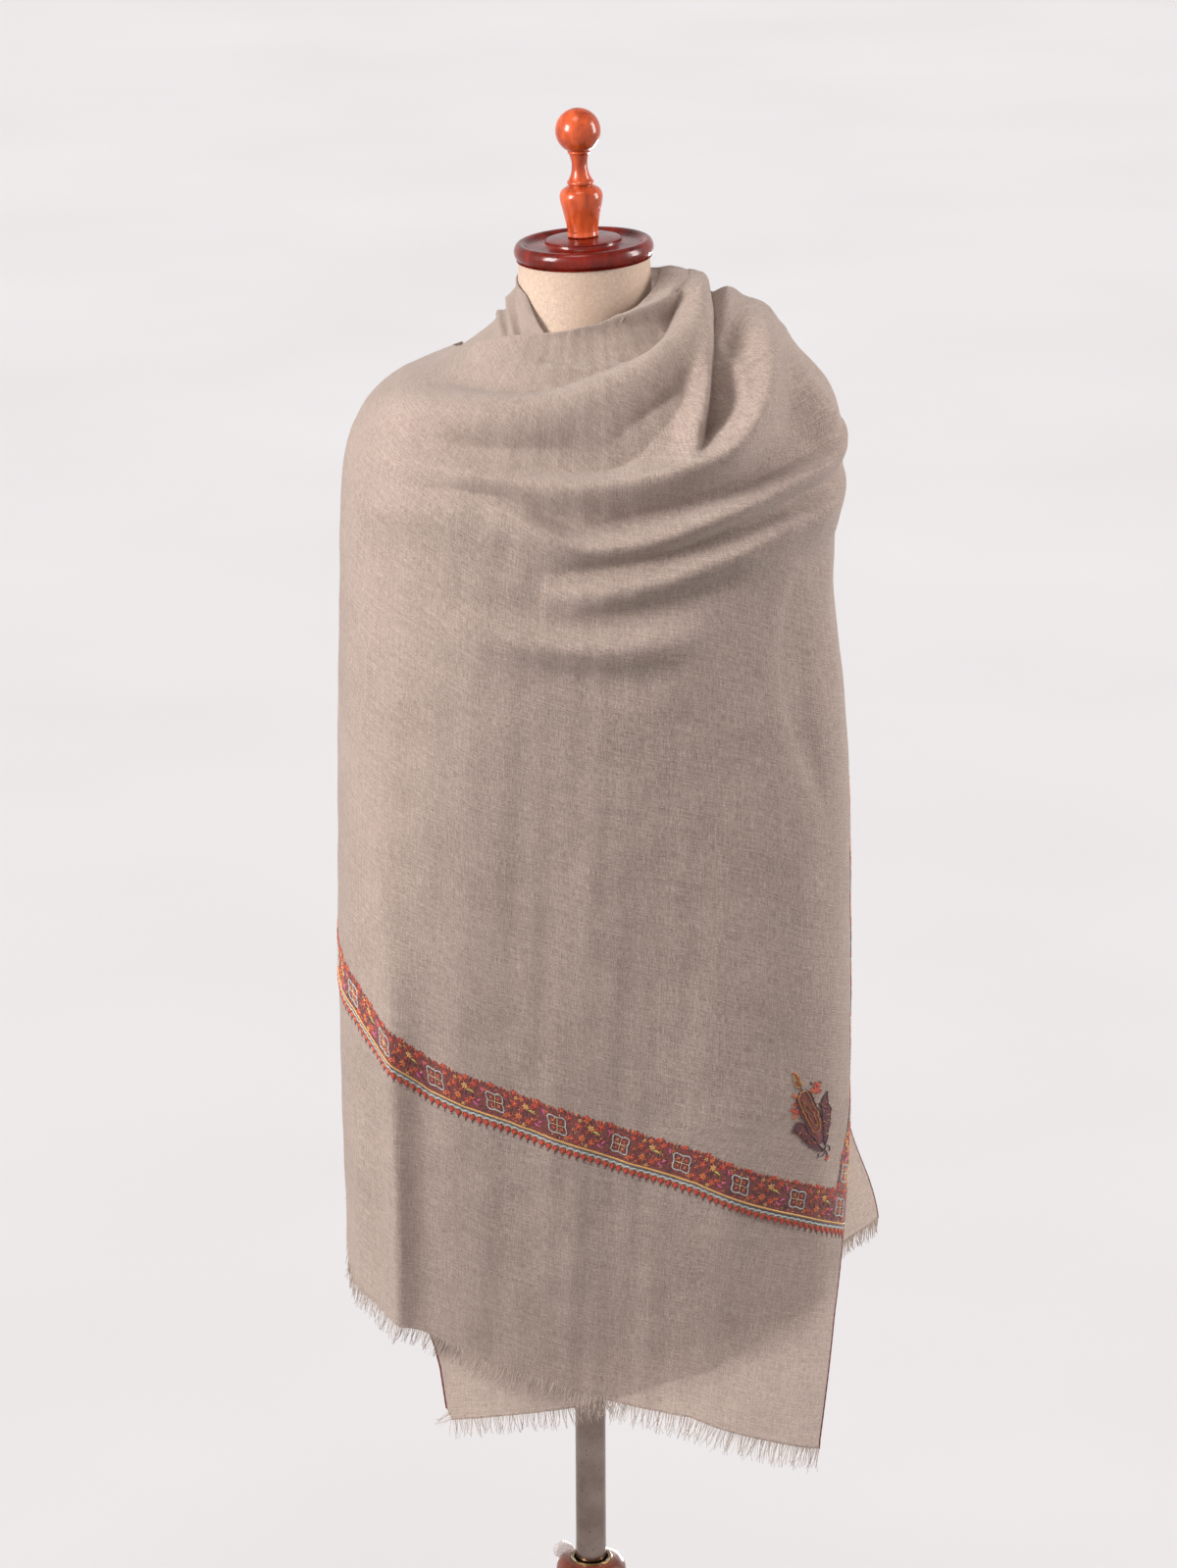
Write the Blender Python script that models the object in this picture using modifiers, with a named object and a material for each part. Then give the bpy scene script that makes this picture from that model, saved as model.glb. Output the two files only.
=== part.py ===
"""A pashmina shawl wound round a limbless dress form.

The shawl is one cloth, 2.00 m x 0.70 m. Its middle hangs down the back from
the nape, its left end crosses the front underneath and its right end crosses
the front on top, over the left shoulder. Each stretch that shows is a piece
of its own, with a plain strip for the reach of its fringe.

The form is a padded torso with a turned wooden neck cap and finial, on a
steel pole in a three-legged wooden stand.

Frame: metres, +Z up, +X to the viewer's right, the front faces -Y. The floor
is z = 0 and the origin is under the middle of the bounding box.
Angles round the body start at +X and pass the front (90), the left (180)
and the back (270), in degrees.
"""
import math

import bmesh
import bpy
import numpy as np
from mathutils import Matrix

# ---------------------------------------------------------------- sizes (m)
POLE_SET_BACK = 0.0736       # the pole stands this far behind the origin

CLOTH_T = 0.0012             # wall of the modelled cloth
UNDER_LIFT = 0.0008          # middle of the under layer above the base shape
OVER_LIFT = 0.0048           # middle of the over layer above the base shape
SEAM_GAP = 0.0005            # between two stretches of one cloth
FRINGE_LONG = 0.022          # fringe at the right
FRINGE_SHORT = 0.016         # fringe at the left
FRINGE_T = 0.0010
FRINGE_GAP = 0.0005

NECK_TOP_Z = 1.5450          # where the neck meets its wooden cap
NECK_TILT = 2.5              # degrees; cap and finial lean to the left
TORSO_BOTTOM_Z = 0.5850
REST_GAP = 0.0003

POLE_R = 0.01375
POLE_FOOT_Z = 0.2000
HUB_R = 0.0320
HUB_TOP_Z = 0.3350
HUB_BOTTOM_Z = 0.1500
HUB_BORE_R = 0.01405
COLLAR_R = 0.0195
LEG_REACH = 0.3180
LEG_WIDTH = 0.0260
LEG_ANGLES = (90.0, 210.0, 330.0)

KNOB_ANGLE = 248.0           # behind and a little to the left
KNOB_Z = 0.3180
KNOB_TILT = 28.0

OVER_RIGHT, OVER_LEFT = -6.0, 208.0      # reach of each stretch, degrees
UNDER_RIGHT, UNDER_LEFT = -7.0, 196.0
BACK_LEFT = -164.0                       # the same line as 196

# The shape that the cloth lies on, as rings from the neck to below the hem.
# ring, z at left, right, front, back; half width left, right; depth front,
# back; squareness (2 is an ellipse)
CLOTH_ROWS = (
    ("neck",      1.526, 1.524, 1.501, 1.531, 0.0570, 0.0600, 0.0570, 0.0570, 2.0),
    ("collar",    1.495, 1.514, 1.481, 1.506, 0.0700, 0.0790, 0.0700, 0.0690, 2.0),
    ("trapezius", 1.461, 1.488, 1.451, 1.474, 0.1120, 0.1200, 0.0940, 0.0900, 2.1),
    ("shoulder",  1.440, 1.457, 1.421, 1.437, 0.1560, 0.1600, 0.1130, 0.1080, 2.2),
    ("tip",       1.402, 1.410, 1.383, 1.396, 0.1930, 0.2020, 0.1240, 0.1180, 2.3),
    ("arm",       1.345, 1.348, 1.333, 1.342, 0.2045, 0.2150, 0.1350, 0.1220, 2.4),
    ("bust",      1.250, 1.250, 1.245, 1.250, 0.2075, 0.2060, 0.1420, 0.1230, 2.5),
    ("ribs",      1.110, 1.110, 1.105, 1.110, 0.2110, 0.2200, 0.1400, 0.1240, 2.8),
    ("waist",     0.960, 0.960, 0.955, 0.960, 0.2140, 0.2250, 0.1340, 0.1250, 3.2),
    ("hip",       0.810, 0.810, 0.805, 0.810, 0.2140, 0.2260, 0.1300, 0.1260, 3.6),
    ("thigh",     0.640, 0.640, 0.635, 0.640, 0.2100, 0.2250, 0.1270, 0.1260, 4.0),
    ("foot",      0.440, 0.440, 0.435, 0.440, 0.2080, 0.2220, 0.1250, 0.1260, 4.2),
)

# The padded form inside it, in the same columns.
TORSO_ROWS = (
    ("neck top",  1.5426, 1.5474, 1.5450, 1.5450, 0.0558, 0.0558, 0.0558, 0.0558, 2.0),
    ("neck",      1.5230, 1.5250, 1.5150, 1.5290, 0.0566, 0.0566, 0.0566, 0.0566, 2.0),
    ("neck base", 1.5060, 1.5060, 1.4940, 1.5130, 0.0585, 0.0585, 0.0580, 0.0580, 2.0),
    ("collar",    1.4900, 1.4900, 1.4780, 1.4990, 0.0670, 0.0670, 0.0660, 0.0660, 2.0),
    ("trapezius", 1.4570, 1.4570, 1.4460, 1.4660, 0.1080, 0.1080, 0.0890, 0.0860, 2.1),
    ("shoulder",  1.4350, 1.4350, 1.4150, 1.4300, 0.1500, 0.1500, 0.1070, 0.1030, 2.2),
    ("tip",       1.3980, 1.3980, 1.3780, 1.3910, 0.1860, 0.1860, 0.1170, 0.1120, 2.3),
    ("arm",       1.3450, 1.3450, 1.3330, 1.3420, 0.1960, 0.1960, 0.1270, 0.1150, 2.3),
    ("armhole",   1.2900, 1.2900, 1.2850, 1.2900, 0.1860, 0.1860, 0.1330, 0.1150, 2.2),
    ("bust",      1.2250, 1.2250, 1.2250, 1.2250, 0.1700, 0.1700, 0.1340, 0.1100, 2.1),
    ("ribs",      1.1200, 1.1200, 1.1200, 1.1200, 0.1480, 0.1480, 0.1130, 0.1000, 2.1),
    ("waist",     1.0200, 1.0200, 1.0200, 1.0200, 0.1300, 0.1300, 0.0930, 0.0900, 2.1),
    ("belly",     0.9200, 0.9200, 0.9200, 0.9200, 0.1550, 0.1550, 0.1040, 0.1040, 2.1),
    ("hip",       0.8000, 0.8000, 0.8000, 0.8000, 0.1800, 0.1800, 0.1130, 0.1160, 2.1),
    ("seat",      0.7000, 0.7000, 0.7000, 0.7000, 0.1900, 0.1900, 0.1150, 0.1180, 2.2),
    ("thigh",     0.6200, 0.6200, 0.6200, 0.6200, 0.1900, 0.1900, 0.1110, 0.1120, 2.2),
    ("edge",      0.5930, 0.5930, 0.5930, 0.5930, 0.1830, 0.1830, 0.1040, 0.1050, 2.2),
    ("rim",       0.5860, 0.5860, 0.5860, 0.5860, 0.1710, 0.1710, 0.0950, 0.0960, 2.2),
    ("bottom",    0.5850, 0.5850, 0.5850, 0.5850, 0.1550, 0.1550, 0.0840, 0.0850, 2.2),
)

# Largest folds of the front. Each is a crest seen from the front:
# name, reach above the crest, reach below it, then (x, z, height).
FOLDS = (
    ("collar roll", 0.013, 0.020, (
        (0.072, 1.524, 0.010), (0.088, 1.506, 0.013), (0.086, 1.488, 0.014),
        (0.068, 1.474, 0.013), (0.044, 1.461, 0.011), (0.010, 1.449, 0.010),
        (-0.020, 1.440, 0.009), (-0.060, 1.433, 0.008), (-0.110, 1.430, 0.007),
        (-0.155, 1.424, 0.004), (-0.190, 1.414, 0.000))),
    ("pocket fold", 0.010, 0.009, (
        (0.106, 1.488, 0.004), (0.100, 1.466, 0.010), (0.096, 1.444, 0.014),
        (0.090, 1.420, 0.012), (0.080, 1.404, 0.004))),
    ("cowl", 0.011, 0.018, (
        (0.112, 1.500, 0.010), (0.130, 1.480, 0.016), (0.137, 1.458, 0.021),
        (0.137, 1.438, 0.023), (0.129, 1.419, 0.023), (0.113, 1.404, 0.021),
        (0.090, 1.394, 0.018), (0.065, 1.387, 0.016), (0.035, 1.382, 0.014),
        (0.000, 1.379, 0.012), (-0.030, 1.379, 0.010), (-0.065, 1.381, 0.008),
        (-0.100, 1.384, 0.006), (-0.140, 1.388, 0.004), (-0.185, 1.392, 0.000))),
    ("shoulder fold", 0.010, 0.016, (
        (0.160, 1.462, 0.006), (0.172, 1.442, 0.008), (0.187, 1.422, 0.008),
        (0.203, 1.400, 0.008), (0.214, 1.380, 0.005))),
    ("upper swag", 0.010, 0.014, (
        (0.218, 1.394, 0.006), (0.200, 1.384, 0.009), (0.167, 1.374, 0.012),
        (0.134, 1.362, 0.013), (0.100, 1.351, 0.013), (0.068, 1.340, 0.012),
        (0.035, 1.332, 0.011), (-0.005, 1.331, 0.009), (-0.030, 1.336, 0.007),
        (-0.055, 1.345, 0.004), (-0.080, 1.354, 0.000))),
    ("lower swag", 0.011, 0.016, (
        (0.218, 1.354, 0.006), (0.200, 1.348, 0.008), (0.167, 1.339, 0.009),
        (0.133, 1.326, 0.010), (0.100, 1.314, 0.010), (0.068, 1.303, 0.009),
        (0.035, 1.296, 0.008), (0.000, 1.292, 0.006), (-0.035, 1.296, 0.000))),
    ("last swag", 0.012, 0.018, (
        (0.110, 1.258, 0.000), (0.068, 1.249, 0.004), (0.035, 1.245, 0.006),
        (0.000, 1.245, 0.007), (-0.040, 1.250, 0.006), (-0.072, 1.257, 0.004),
        (-0.110, 1.268, 0.000))),
    ("side roll", 0.018, 0.022, (
        (0.215, 1.300, 0.000), (0.212, 1.240, 0.004), (0.214, 1.180, 0.007),
        (0.218, 1.110, 0.006), (0.224, 1.030, 0.003), (0.226, 0.960, 0.000))),
    ("left edge", 0.014, 0.014, (
        (-0.176, 1.090, 0.000), (-0.169, 0.990, 0.003), (-0.164, 0.880, 0.006),
        (-0.163, 0.760, 0.006), (-0.162, 0.600, 0.006))),
)

# Height of each lower edge (fringe root or selvedge): (angle, z)
OVER_HEM = ((20, 0.484), (26, 0.490), (55, 0.537), (90, 0.560), (125, 0.589),
            (142, 0.620), (160, 0.646), (180, 0.678), (208, 0.735))
UNDER_HEM = ((-7, 0.657), (5, 0.655), (18, 0.645), (30, 0.622), (49, 0.580),
             (90, 0.546), (123, 0.534), (136, 0.528), (141, 0.560), (150, 0.630),
             (165, 0.710), (180, 0.765), (196, 0.800))
BACK_HEM = ((-164, 0.800), (-120, 0.792), (-90, 0.780), (-60, 0.772),
            (-30, 0.786), (-6, 0.812))
# Ring number of each upper edge: 0 is the neck ring.
OVER_TOP = ((-6, 0.0), (122, 0.0), (150, 0.75), (180, 1.45), (208, 2.1))
UNDER_TOP = ((-7, 5.7), (0, 5.5), (30, 4.2), (60, 3.0), (90, 2.0), (115, 0.9),
             (128, 0.0), (196, 0.0))
# Where the right selvedge of the over layer hangs: (z, angle)
OVER_SELVEDGE = ((0.44, 27), (0.50, 26), (0.62, 22), (0.70, 15), (0.76, 6),
                 (0.812, -6), (1.60, -6))
UNDER_CORNER_FLARE = 0.038
UNDER_TUCK = 0.0055

CLOTH_COLOUR = (0.42, 0.345, 0.29, 1.0)
FRINGE_COLOUR = (0.52, 0.44, 0.385, 1.0)
LINEN_COLOUR = (0.68, 0.53, 0.40, 1.0)
CAP_COLOUR = (0.20, 0.045, 0.025, 1.0)
FINIAL_COLOUR = (0.42, 0.095, 0.030, 1.0)
STAND_COLOUR = (0.33, 0.120, 0.070, 1.0)
CHROME_COLOUR = (0.62, 0.58, 0.55, 1.0)
BRASS_COLOUR = (0.22, 0.17, 0.11, 1.0)
KNOB_COLOUR = (0.82, 0.78, 0.78, 1.0)


# ------------------------------------------------------------- scene helpers
for old in list(bpy.data.objects):
    bpy.data.objects.remove(old, do_unlink=True)
shawl_on_form = bpy.data.collections.new("shawl_on_dress_form")
bpy.context.scene.collection.children.link(shawl_on_form)


def material(name, colour, roughness, metallic=0.0):
    mat = bpy.data.materials.new(name)
    mat.use_nodes = True
    shader = mat.node_tree.nodes["Principled BSDF"]
    shader.inputs["Base Color"].default_value = colour
    shader.inputs["Roughness"].default_value = roughness
    shader.inputs["Metallic"].default_value = metallic
    return mat


MATERIALS = {
    "pashmina": material("pashmina", CLOTH_COLOUR, 0.9),
    "fringe": material("fringe", FRINGE_COLOUR, 0.9),
    "linen": material("linen", LINEN_COLOUR, 0.85),
    "mahogany": material("mahogany", CAP_COLOUR, 0.25),
    "cherry": material("cherry", FINIAL_COLOUR, 0.2),
    "stand_wood": material("stand_wood", STAND_COLOUR, 0.4),
    "chrome": material("chrome", CHROME_COLOUR, 0.15, 1.0),
    "brass": material("brass", BRASS_COLOUR, 0.45, 1.0),
    "clear_plastic": material("clear_plastic", KNOB_COLOUR, 0.2),
}


def add_object(name, mesh, mat, at_pole=True):
    obj = bpy.data.objects.new(name, mesh)
    shawl_on_form.objects.link(obj)
    mesh.materials.clear()
    mesh.materials.append(MATERIALS[mat])
    if at_pole:
        obj.location.y = POLE_SET_BACK
    return obj


def smooth(mesh, degrees=40.0):
    mesh.shade_smooth()
    mesh.set_sharp_from_angle(angle=math.radians(degrees))


def turned(name, profile, mat, steps=40, z=0.0, tilt=0.0):
    """A turned solid: profile points (radius, height) down its outer side."""
    ring = profile[0] == profile[-1]
    count = len(profile) - 1 if ring else len(profile)
    edges = [(i, (i + 1) % count) for i in range(len(profile) - 1)]
    mesh = bpy.data.meshes.new(name)
    mesh.from_pydata([(r, 0.0, h) for r, h in profile[:count]], edges, [])
    obj = add_object(name, mesh, mat)
    screw = obj.modifiers.new("turn", "SCREW")
    screw.angle = math.radians(360.0)
    screw.steps = screw.render_steps = steps
    screw.use_merge_vertices = True
    screw.merge_threshold = 0.00005
    screw.use_smooth_shade = True
    obj.location.z = z
    obj.rotation_euler.y = -math.radians(tilt)
    return obj


# ------------------------------------------------------------ ring surfaces
def smoothstep(low, high, x):
    t = np.clip((x - low) / (high - low), 0.0, 1.0)
    return t * t * (3.0 - 2.0 * t)


def rows_at(table, w):
    """Catmull-Rom blend of the rings of a table at ring number w."""
    last = len(table) - 1
    w = np.clip(w, 0.0, last - 1e-6)
    k = np.floor(w).astype(int)
    t = (w - k)[..., None]
    p0, p1 = table[np.clip(k - 1, 0, last)], table[k]
    p2, p3 = table[k + 1], table[np.clip(k + 2, 0, last)]
    m1, m2 = (p2 - p0) * 0.5, (p3 - p1) * 0.5
    return ((2 * t ** 3 - 3 * t ** 2 + 1) * p1 + (t ** 3 - 2 * t ** 2 + t) * m1
            + (3 * t ** 2 - 2 * t ** 3) * p2 + (t ** 3 - t ** 2) * m2)


def ring_point(table, angle, w):
    """Point of the surface at an angle round the body (radians)."""
    c, s = np.cos(angle), np.sin(angle)
    row = rows_at(table, w)
    zl, zr, zf, zb, left, right, front, back, square = np.moveaxis(row, -1, 0)
    half = np.where(c > 0.0, right, left)
    depth = np.where(s > 0.0, front, back)
    radius = (np.abs(c / half) ** square
              + np.abs(s / depth) ** square) ** (-1.0 / square)
    z = c * c * np.where(c > 0.0, zr, zl) + s * s * np.where(s > 0.0, zf, zb)
    return np.stack([radius * c, -radius * s, z], -1)


CLOTH = np.array([row[1:] for row in CLOTH_ROWS])
TORSO = np.array([row[1:] for row in TORSO_ROWS])
RING_NUMBERS = np.linspace(0.0, len(CLOTH) - 1.0, 400)
RING_HEIGHTS = rows_at(CLOTH, RING_NUMBERS)[:, 0]


def ring_of_height(z):
    return np.interp(-z, -RING_HEIGHTS, RING_NUMBERS)


def from_pairs(pairs, x):
    keys, values = zip(*pairs)
    return np.interp(x, keys, values)


def cloth_base(angle, w):
    """Points of the base shape and its outward normals."""
    e, f = 0.004, 0.02
    point = ring_point(CLOTH, angle, w)
    round_it = (ring_point(CLOTH, angle + e, w)
                - ring_point(CLOTH, angle - e, w))
    down = (ring_point(CLOTH, angle, np.minimum(w + f, 10.99))
            - ring_point(CLOTH, angle, np.maximum(w - f, 0.0)))
    normal = np.cross(round_it, down)
    normal /= np.linalg.norm(normal, axis=-1, keepdims=True)
    return point, normal


def along(points, count):
    """count samples of a Catmull-Rom line through (x, z, height) points."""
    return rows_at(np.array(points), np.linspace(0.0, len(points) - 1.0, count))


def fold_height(point):
    """How far the folds lift the over layer at these points."""
    x, y, z = point[..., 0], point[..., 1], point[..., 2]
    total = np.zeros_like(x)
    for _name, above, below, crest in FOLDS:
        line = along(crest, 48)
        step = np.gradient(line[:, :2], axis=0)
        dx = x[..., None] - line[:, 0]
        dz = z[..., None] - line[:, 1]
        near = np.argmin(dx * dx + dz * dz, axis=-1)
        dx = np.take_along_axis(dx, near[..., None], -1)[..., 0]
        dz = np.take_along_axis(dz, near[..., None], -1)[..., 0]
        side = step[near, 0] * dz - step[near, 1] * dx
        # every crest is listed from the right to the left, so its upper
        # side is on the right-hand side of the way it runs
        reach = np.where(side < 0.0, above, below)
        total += line[near, 2] * np.exp(-(dx * dx + dz * dz)
                                        / (2.0 * (reach * 0.75) ** 2))
    return total * (1.0 - smoothstep(0.01, 0.07, y))


# --------------------------------------------------------- the cloth stretches
def spread(count, upper_share, upper_part):
    """count + 1 fractions from 0 to 1, closer together in the upper part."""
    upper = round(count * upper_share)
    return np.concatenate([np.linspace(0.0, upper_part, upper, endpoint=False),
                           np.linspace(upper_part, 1.0, count - upper + 1)])


def over_points(u, v):
    ref = OVER_RIGHT + (OVER_LEFT - OVER_RIGHT) * u
    top = from_pairs(OVER_TOP, ref)
    hem = ring_of_height(from_pairs(OVER_HEM, np.maximum(ref, 26.0)))
    w = top + (hem - top) * v
    height = np.interp(w, RING_NUMBERS, RING_HEIGHTS)
    right = from_pairs(OVER_SELVEDGE, height)
    angle = np.radians(ref + (right - OVER_RIGHT) * (1.0 - u) ** 3)
    # re-read the hem where the selvedge has moved the columns
    hem = ring_of_height(from_pairs(OVER_HEM, np.degrees(angle)))
    w = top + (hem - top) * v
    point, normal = cloth_base(angle, w)
    lift = OVER_LIFT + fold_height(point)
    return point + normal * lift[..., None], normal, angle


def under_points(u, v):
    degrees = UNDER_LEFT + (UNDER_RIGHT - UNDER_LEFT) * u
    top = from_pairs(UNDER_TOP, degrees)
    hem = ring_of_height(from_pairs(UNDER_HEM, degrees))
    w = top + (hem - top) * v
    angle = np.radians(degrees)
    point, normal = cloth_base(angle, w)
    z = point[..., 2]
    selvedge = from_pairs(OVER_SELVEDGE, z)
    flare = (UNDER_CORNER_FLARE * (1.0 - smoothstep(0.655, 0.805, z))
             * smoothstep(9.0, 31.0, selvedge - degrees))
    # below the bust the under layer hangs a little inside the over layer
    tuck = UNDER_TUCK * (smoothstep(1.16, 0.86, z) * smoothstep(-4.0, 12.0, degrees)
                         * smoothstep(165.0, 140.0, degrees))
    return point + normal * (UNDER_LIFT - tuck + flare)[..., None], normal, angle


def back_points(u, v):
    degrees = BACK_LEFT + (OVER_RIGHT - BACK_LEFT) * u
    hem = ring_of_height(from_pairs(BACK_HEM, degrees))
    w = hem * v
    angle = np.radians(degrees)
    point, normal = cloth_base(angle, w)
    lift = UNDER_LIFT + (OVER_LIFT - UNDER_LIFT) * smoothstep(-110.0, -20.0, degrees)
    lift = lift + fold_height(point)
    return point + normal * lift[..., None], normal, angle


def grid_mesh(name, points):
    """An open sheet through a grid of points, facing out."""
    rows, columns = points.shape[:2]
    faces = []
    for i in range(rows - 1):
        for j in range(columns - 1):
            a = i * columns + j
            faces.append((a, a + 1, a + columns + 1, a + columns))
    mesh = bpy.data.meshes.new(name)
    mesh.from_pydata(points.reshape(-1, 3).tolist(), [], faces)
    return mesh


def outward(mesh):
    """Turn the sheet so that its faces point away from the pole."""
    bm = bmesh.new()
    bm.from_mesh(mesh)
    inward = sum(1 if f.normal.x * f.calc_center_median().x
                 + f.normal.y * f.calc_center_median().y < 0.0 else -1
                 for f in bm.faces)
    if inward > 0:
        bmesh.ops.reverse_faces(bm, faces=bm.faces)
    bm.to_mesh(mesh)
    bm.free()


def cloth_piece(name, points, mat, thickness):
    mesh = grid_mesh(name, points)
    outward(mesh)
    obj = add_object(name, mesh, mat)
    wall = obj.modifiers.new("wall", "SOLIDIFY")
    wall.thickness = thickness
    wall.offset = 0.0
    wall.use_even_offset = False
    smooth(mesh, 60.0)
    return obj


def lattice(us, vs):
    return np.meshgrid(us, vs, indexing="ij")


def trimmed(count, start, end):
    """0 to 1 in count steps, with the ends drawn in by fractions."""
    return np.linspace(start, 1.0 - end, count + 1)


def fringe_strip(points_of, us, length):
    """The strip below a hem: its upper edge follows the fringe's root."""
    u, v = lattice(us, np.array([1.0]))
    root, normal, _angle = points_of(u, v)
    root, normal = root[:, 0], normal[:, 0]
    tangent = np.gradient(root, axis=0)
    tangent /= np.linalg.norm(tangent, axis=-1, keepdims=True)
    hang = np.cross(tangent, normal)
    hang *= -np.sign(hang[:, 2:3])
    top = root + hang * (FRINGE_GAP + CLOTH_T * 0.25)
    return np.stack([top, top + hang * length[:, None]], axis=1)


seam = SEAM_GAP / 0.22 / 2.0
seam_over = seam / math.radians(OVER_LEFT - OVER_RIGHT)
seam_back = seam / math.radians(OVER_RIGHT - BACK_LEFT)
seam_under = seam / math.radians(UNDER_LEFT - UNDER_RIGHT)

over_u = trimmed(44, seam_over * 1.5, 0.0)
over_v = spread(32, 0.57, 0.36)
points, _n, _a = over_points(*lattice(over_u, over_v))
cloth_piece("shawl_over", points, "pashmina", CLOTH_T)

under_u = trimmed(33, seam_under * 1.5, 0.0)
points, _n, _a = under_points(*lattice(under_u, np.linspace(0.0, 1.0, 19)))
cloth_piece("shawl_under", points, "pashmina", CLOTH_T)

back_u = trimmed(24, seam_back * 1.5, seam_back * 1.5)
points, _n, _a = back_points(*lattice(back_u, np.linspace(0.0, 1.0, 19)))
cloth_piece("shawl_back", points, "pashmina", CLOTH_T)

length = FRINGE_LONG + (FRINGE_SHORT - FRINGE_LONG) * over_u
cloth_piece("fringe_over", fringe_strip(over_points, over_u, length),
            "fringe", FRINGE_T)

corner_u = (UNDER_LEFT - 136.0) / (UNDER_LEFT - UNDER_RIGHT)
fringe_u = np.append(corner_u, under_u[under_u > corner_u + 0.01])
length = np.full(len(fringe_u), FRINGE_SHORT + 0.001)
cloth_piece("fringe_under", fringe_strip(under_points, fringe_u, length),
            "fringe", FRINGE_T)


# ------------------------------------------------------------- the dress form
def torso(columns=44, rows_per_ring=2):
    rings = np.linspace(0.0, len(TORSO) - 1.0,
                        (len(TORSO) - 1) * rows_per_ring + 1)
    angles = np.linspace(0.0, 2.0 * math.pi, columns, endpoint=False)
    angle, ring = np.meshgrid(angles, rings)
    points = ring_point(TORSO, angle, ring)
    # the top of the neck leans with its cap
    points[0, :, 2] = NECK_TOP_Z + points[0, :, 0] * math.tan(math.radians(NECK_TILT))
    bm = bmesh.new()
    loops = [[bm.verts.new(p) for p in row] for row in points]
    for upper, lower in zip(loops, loops[1:]):
        for j in range(columns):
            k = (j + 1) % columns
            bm.faces.new((upper[j], upper[k], lower[k], lower[j]))
    bm.faces.new(loops[0])
    bm.faces.new(loops[-1])
    bmesh.ops.recalc_face_normals(bm, faces=bm.faces)
    mesh = bpy.data.meshes.new("form_torso")
    bm.to_mesh(mesh)
    bm.free()
    smooth(mesh, 50.0)
    return add_object("form_torso", mesh, "linen")


torso()

turned("neck_cap", (
    (0.0, 0.0190), (0.0130, 0.0190), (0.0300, 0.0176), (0.0315, 0.0158),
    (0.0335, 0.0130), (0.0460, 0.0122), (0.0488, 0.0128), (0.0510, 0.0148),
    (0.0545, 0.0156), (0.0573, 0.0140), (0.0590, 0.0106), (0.0592, 0.0072),
    (0.0580, 0.0036), (0.0556, 0.0012), (0.0530, 0.0004), (0.0, 0.0004)),
    "mahogany", steps=36, z=NECK_TOP_Z, tilt=NECK_TILT)

ball_z, ball_r = 0.1092, 0.0192
ball = [(ball_r * math.sin(math.radians(a)), ball_z + ball_r * math.cos(math.radians(a)))
        for a in range(0, 151, 15)]
ball[0] = (0.0, ball_z + ball_r)
turned("finial", tuple(ball) + (
    (0.0098, 0.0912), (0.0084, 0.0890), (0.0068, 0.0830), (0.0067, 0.0790),
    (0.0076, 0.0730), (0.0098, 0.0680), (0.0112, 0.0662), (0.0112, 0.0645),
    (0.0102, 0.0634), (0.0102, 0.0626), (0.0122, 0.0618), (0.0162, 0.0590),
    (0.0182, 0.0545), (0.0178, 0.0490), (0.0160, 0.0410), (0.0140, 0.0310),
    (0.0128, 0.0240), (0.0124, 0.0194), (0.0, 0.0194)),
    "cherry", steps=24, z=NECK_TOP_Z, tilt=NECK_TILT)

# ------------------------------------------------------------------ the stand
turned("pole", ((0.0, TORSO_BOTTOM_Z - REST_GAP), (POLE_R, TORSO_BOTTOM_Z - REST_GAP),
                (POLE_R, POLE_FOOT_Z), (0.0, POLE_FOOT_Z)), "chrome", steps=28)

SEAT_Z = HUB_TOP_Z - 0.0100
turned("base_hub", (
    (0.0, POLE_FOOT_Z - REST_GAP), (HUB_BORE_R, POLE_FOOT_Z - REST_GAP), (HUB_BORE_R, SEAT_Z), (COLLAR_R + REST_GAP, SEAT_Z),
    (COLLAR_R + REST_GAP, HUB_TOP_Z), (0.0250, HUB_TOP_Z - 0.0004), (0.0292, HUB_TOP_Z - 0.0030),
    (0.0314, HUB_TOP_Z - 0.0080), (HUB_R, HUB_TOP_Z - 0.0150), (HUB_R, HUB_BOTTOM_Z + 0.0200),
    (0.0290, HUB_BOTTOM_Z + 0.0120), (0.0220, HUB_BOTTOM_Z + 0.0060),
    (0.0240, HUB_BOTTOM_Z), (0.0180, HUB_BOTTOM_Z - 0.0120), (0.0, HUB_BOTTOM_Z - 0.0160),
), "stand_wood", steps=28)
turned("base_collar", (
    (COLLAR_R, SEAT_Z + REST_GAP), (0.0152, SEAT_Z + REST_GAP),
    (0.0152, HUB_TOP_Z - 0.0030), (0.0158, HUB_TOP_Z + 0.0006), (0.0186, HUB_TOP_Z + 0.0010),
    (COLLAR_R, HUB_TOP_Z + 0.0002), (COLLAR_R, SEAT_Z + REST_GAP)),
    "brass", steps=28)


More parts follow.
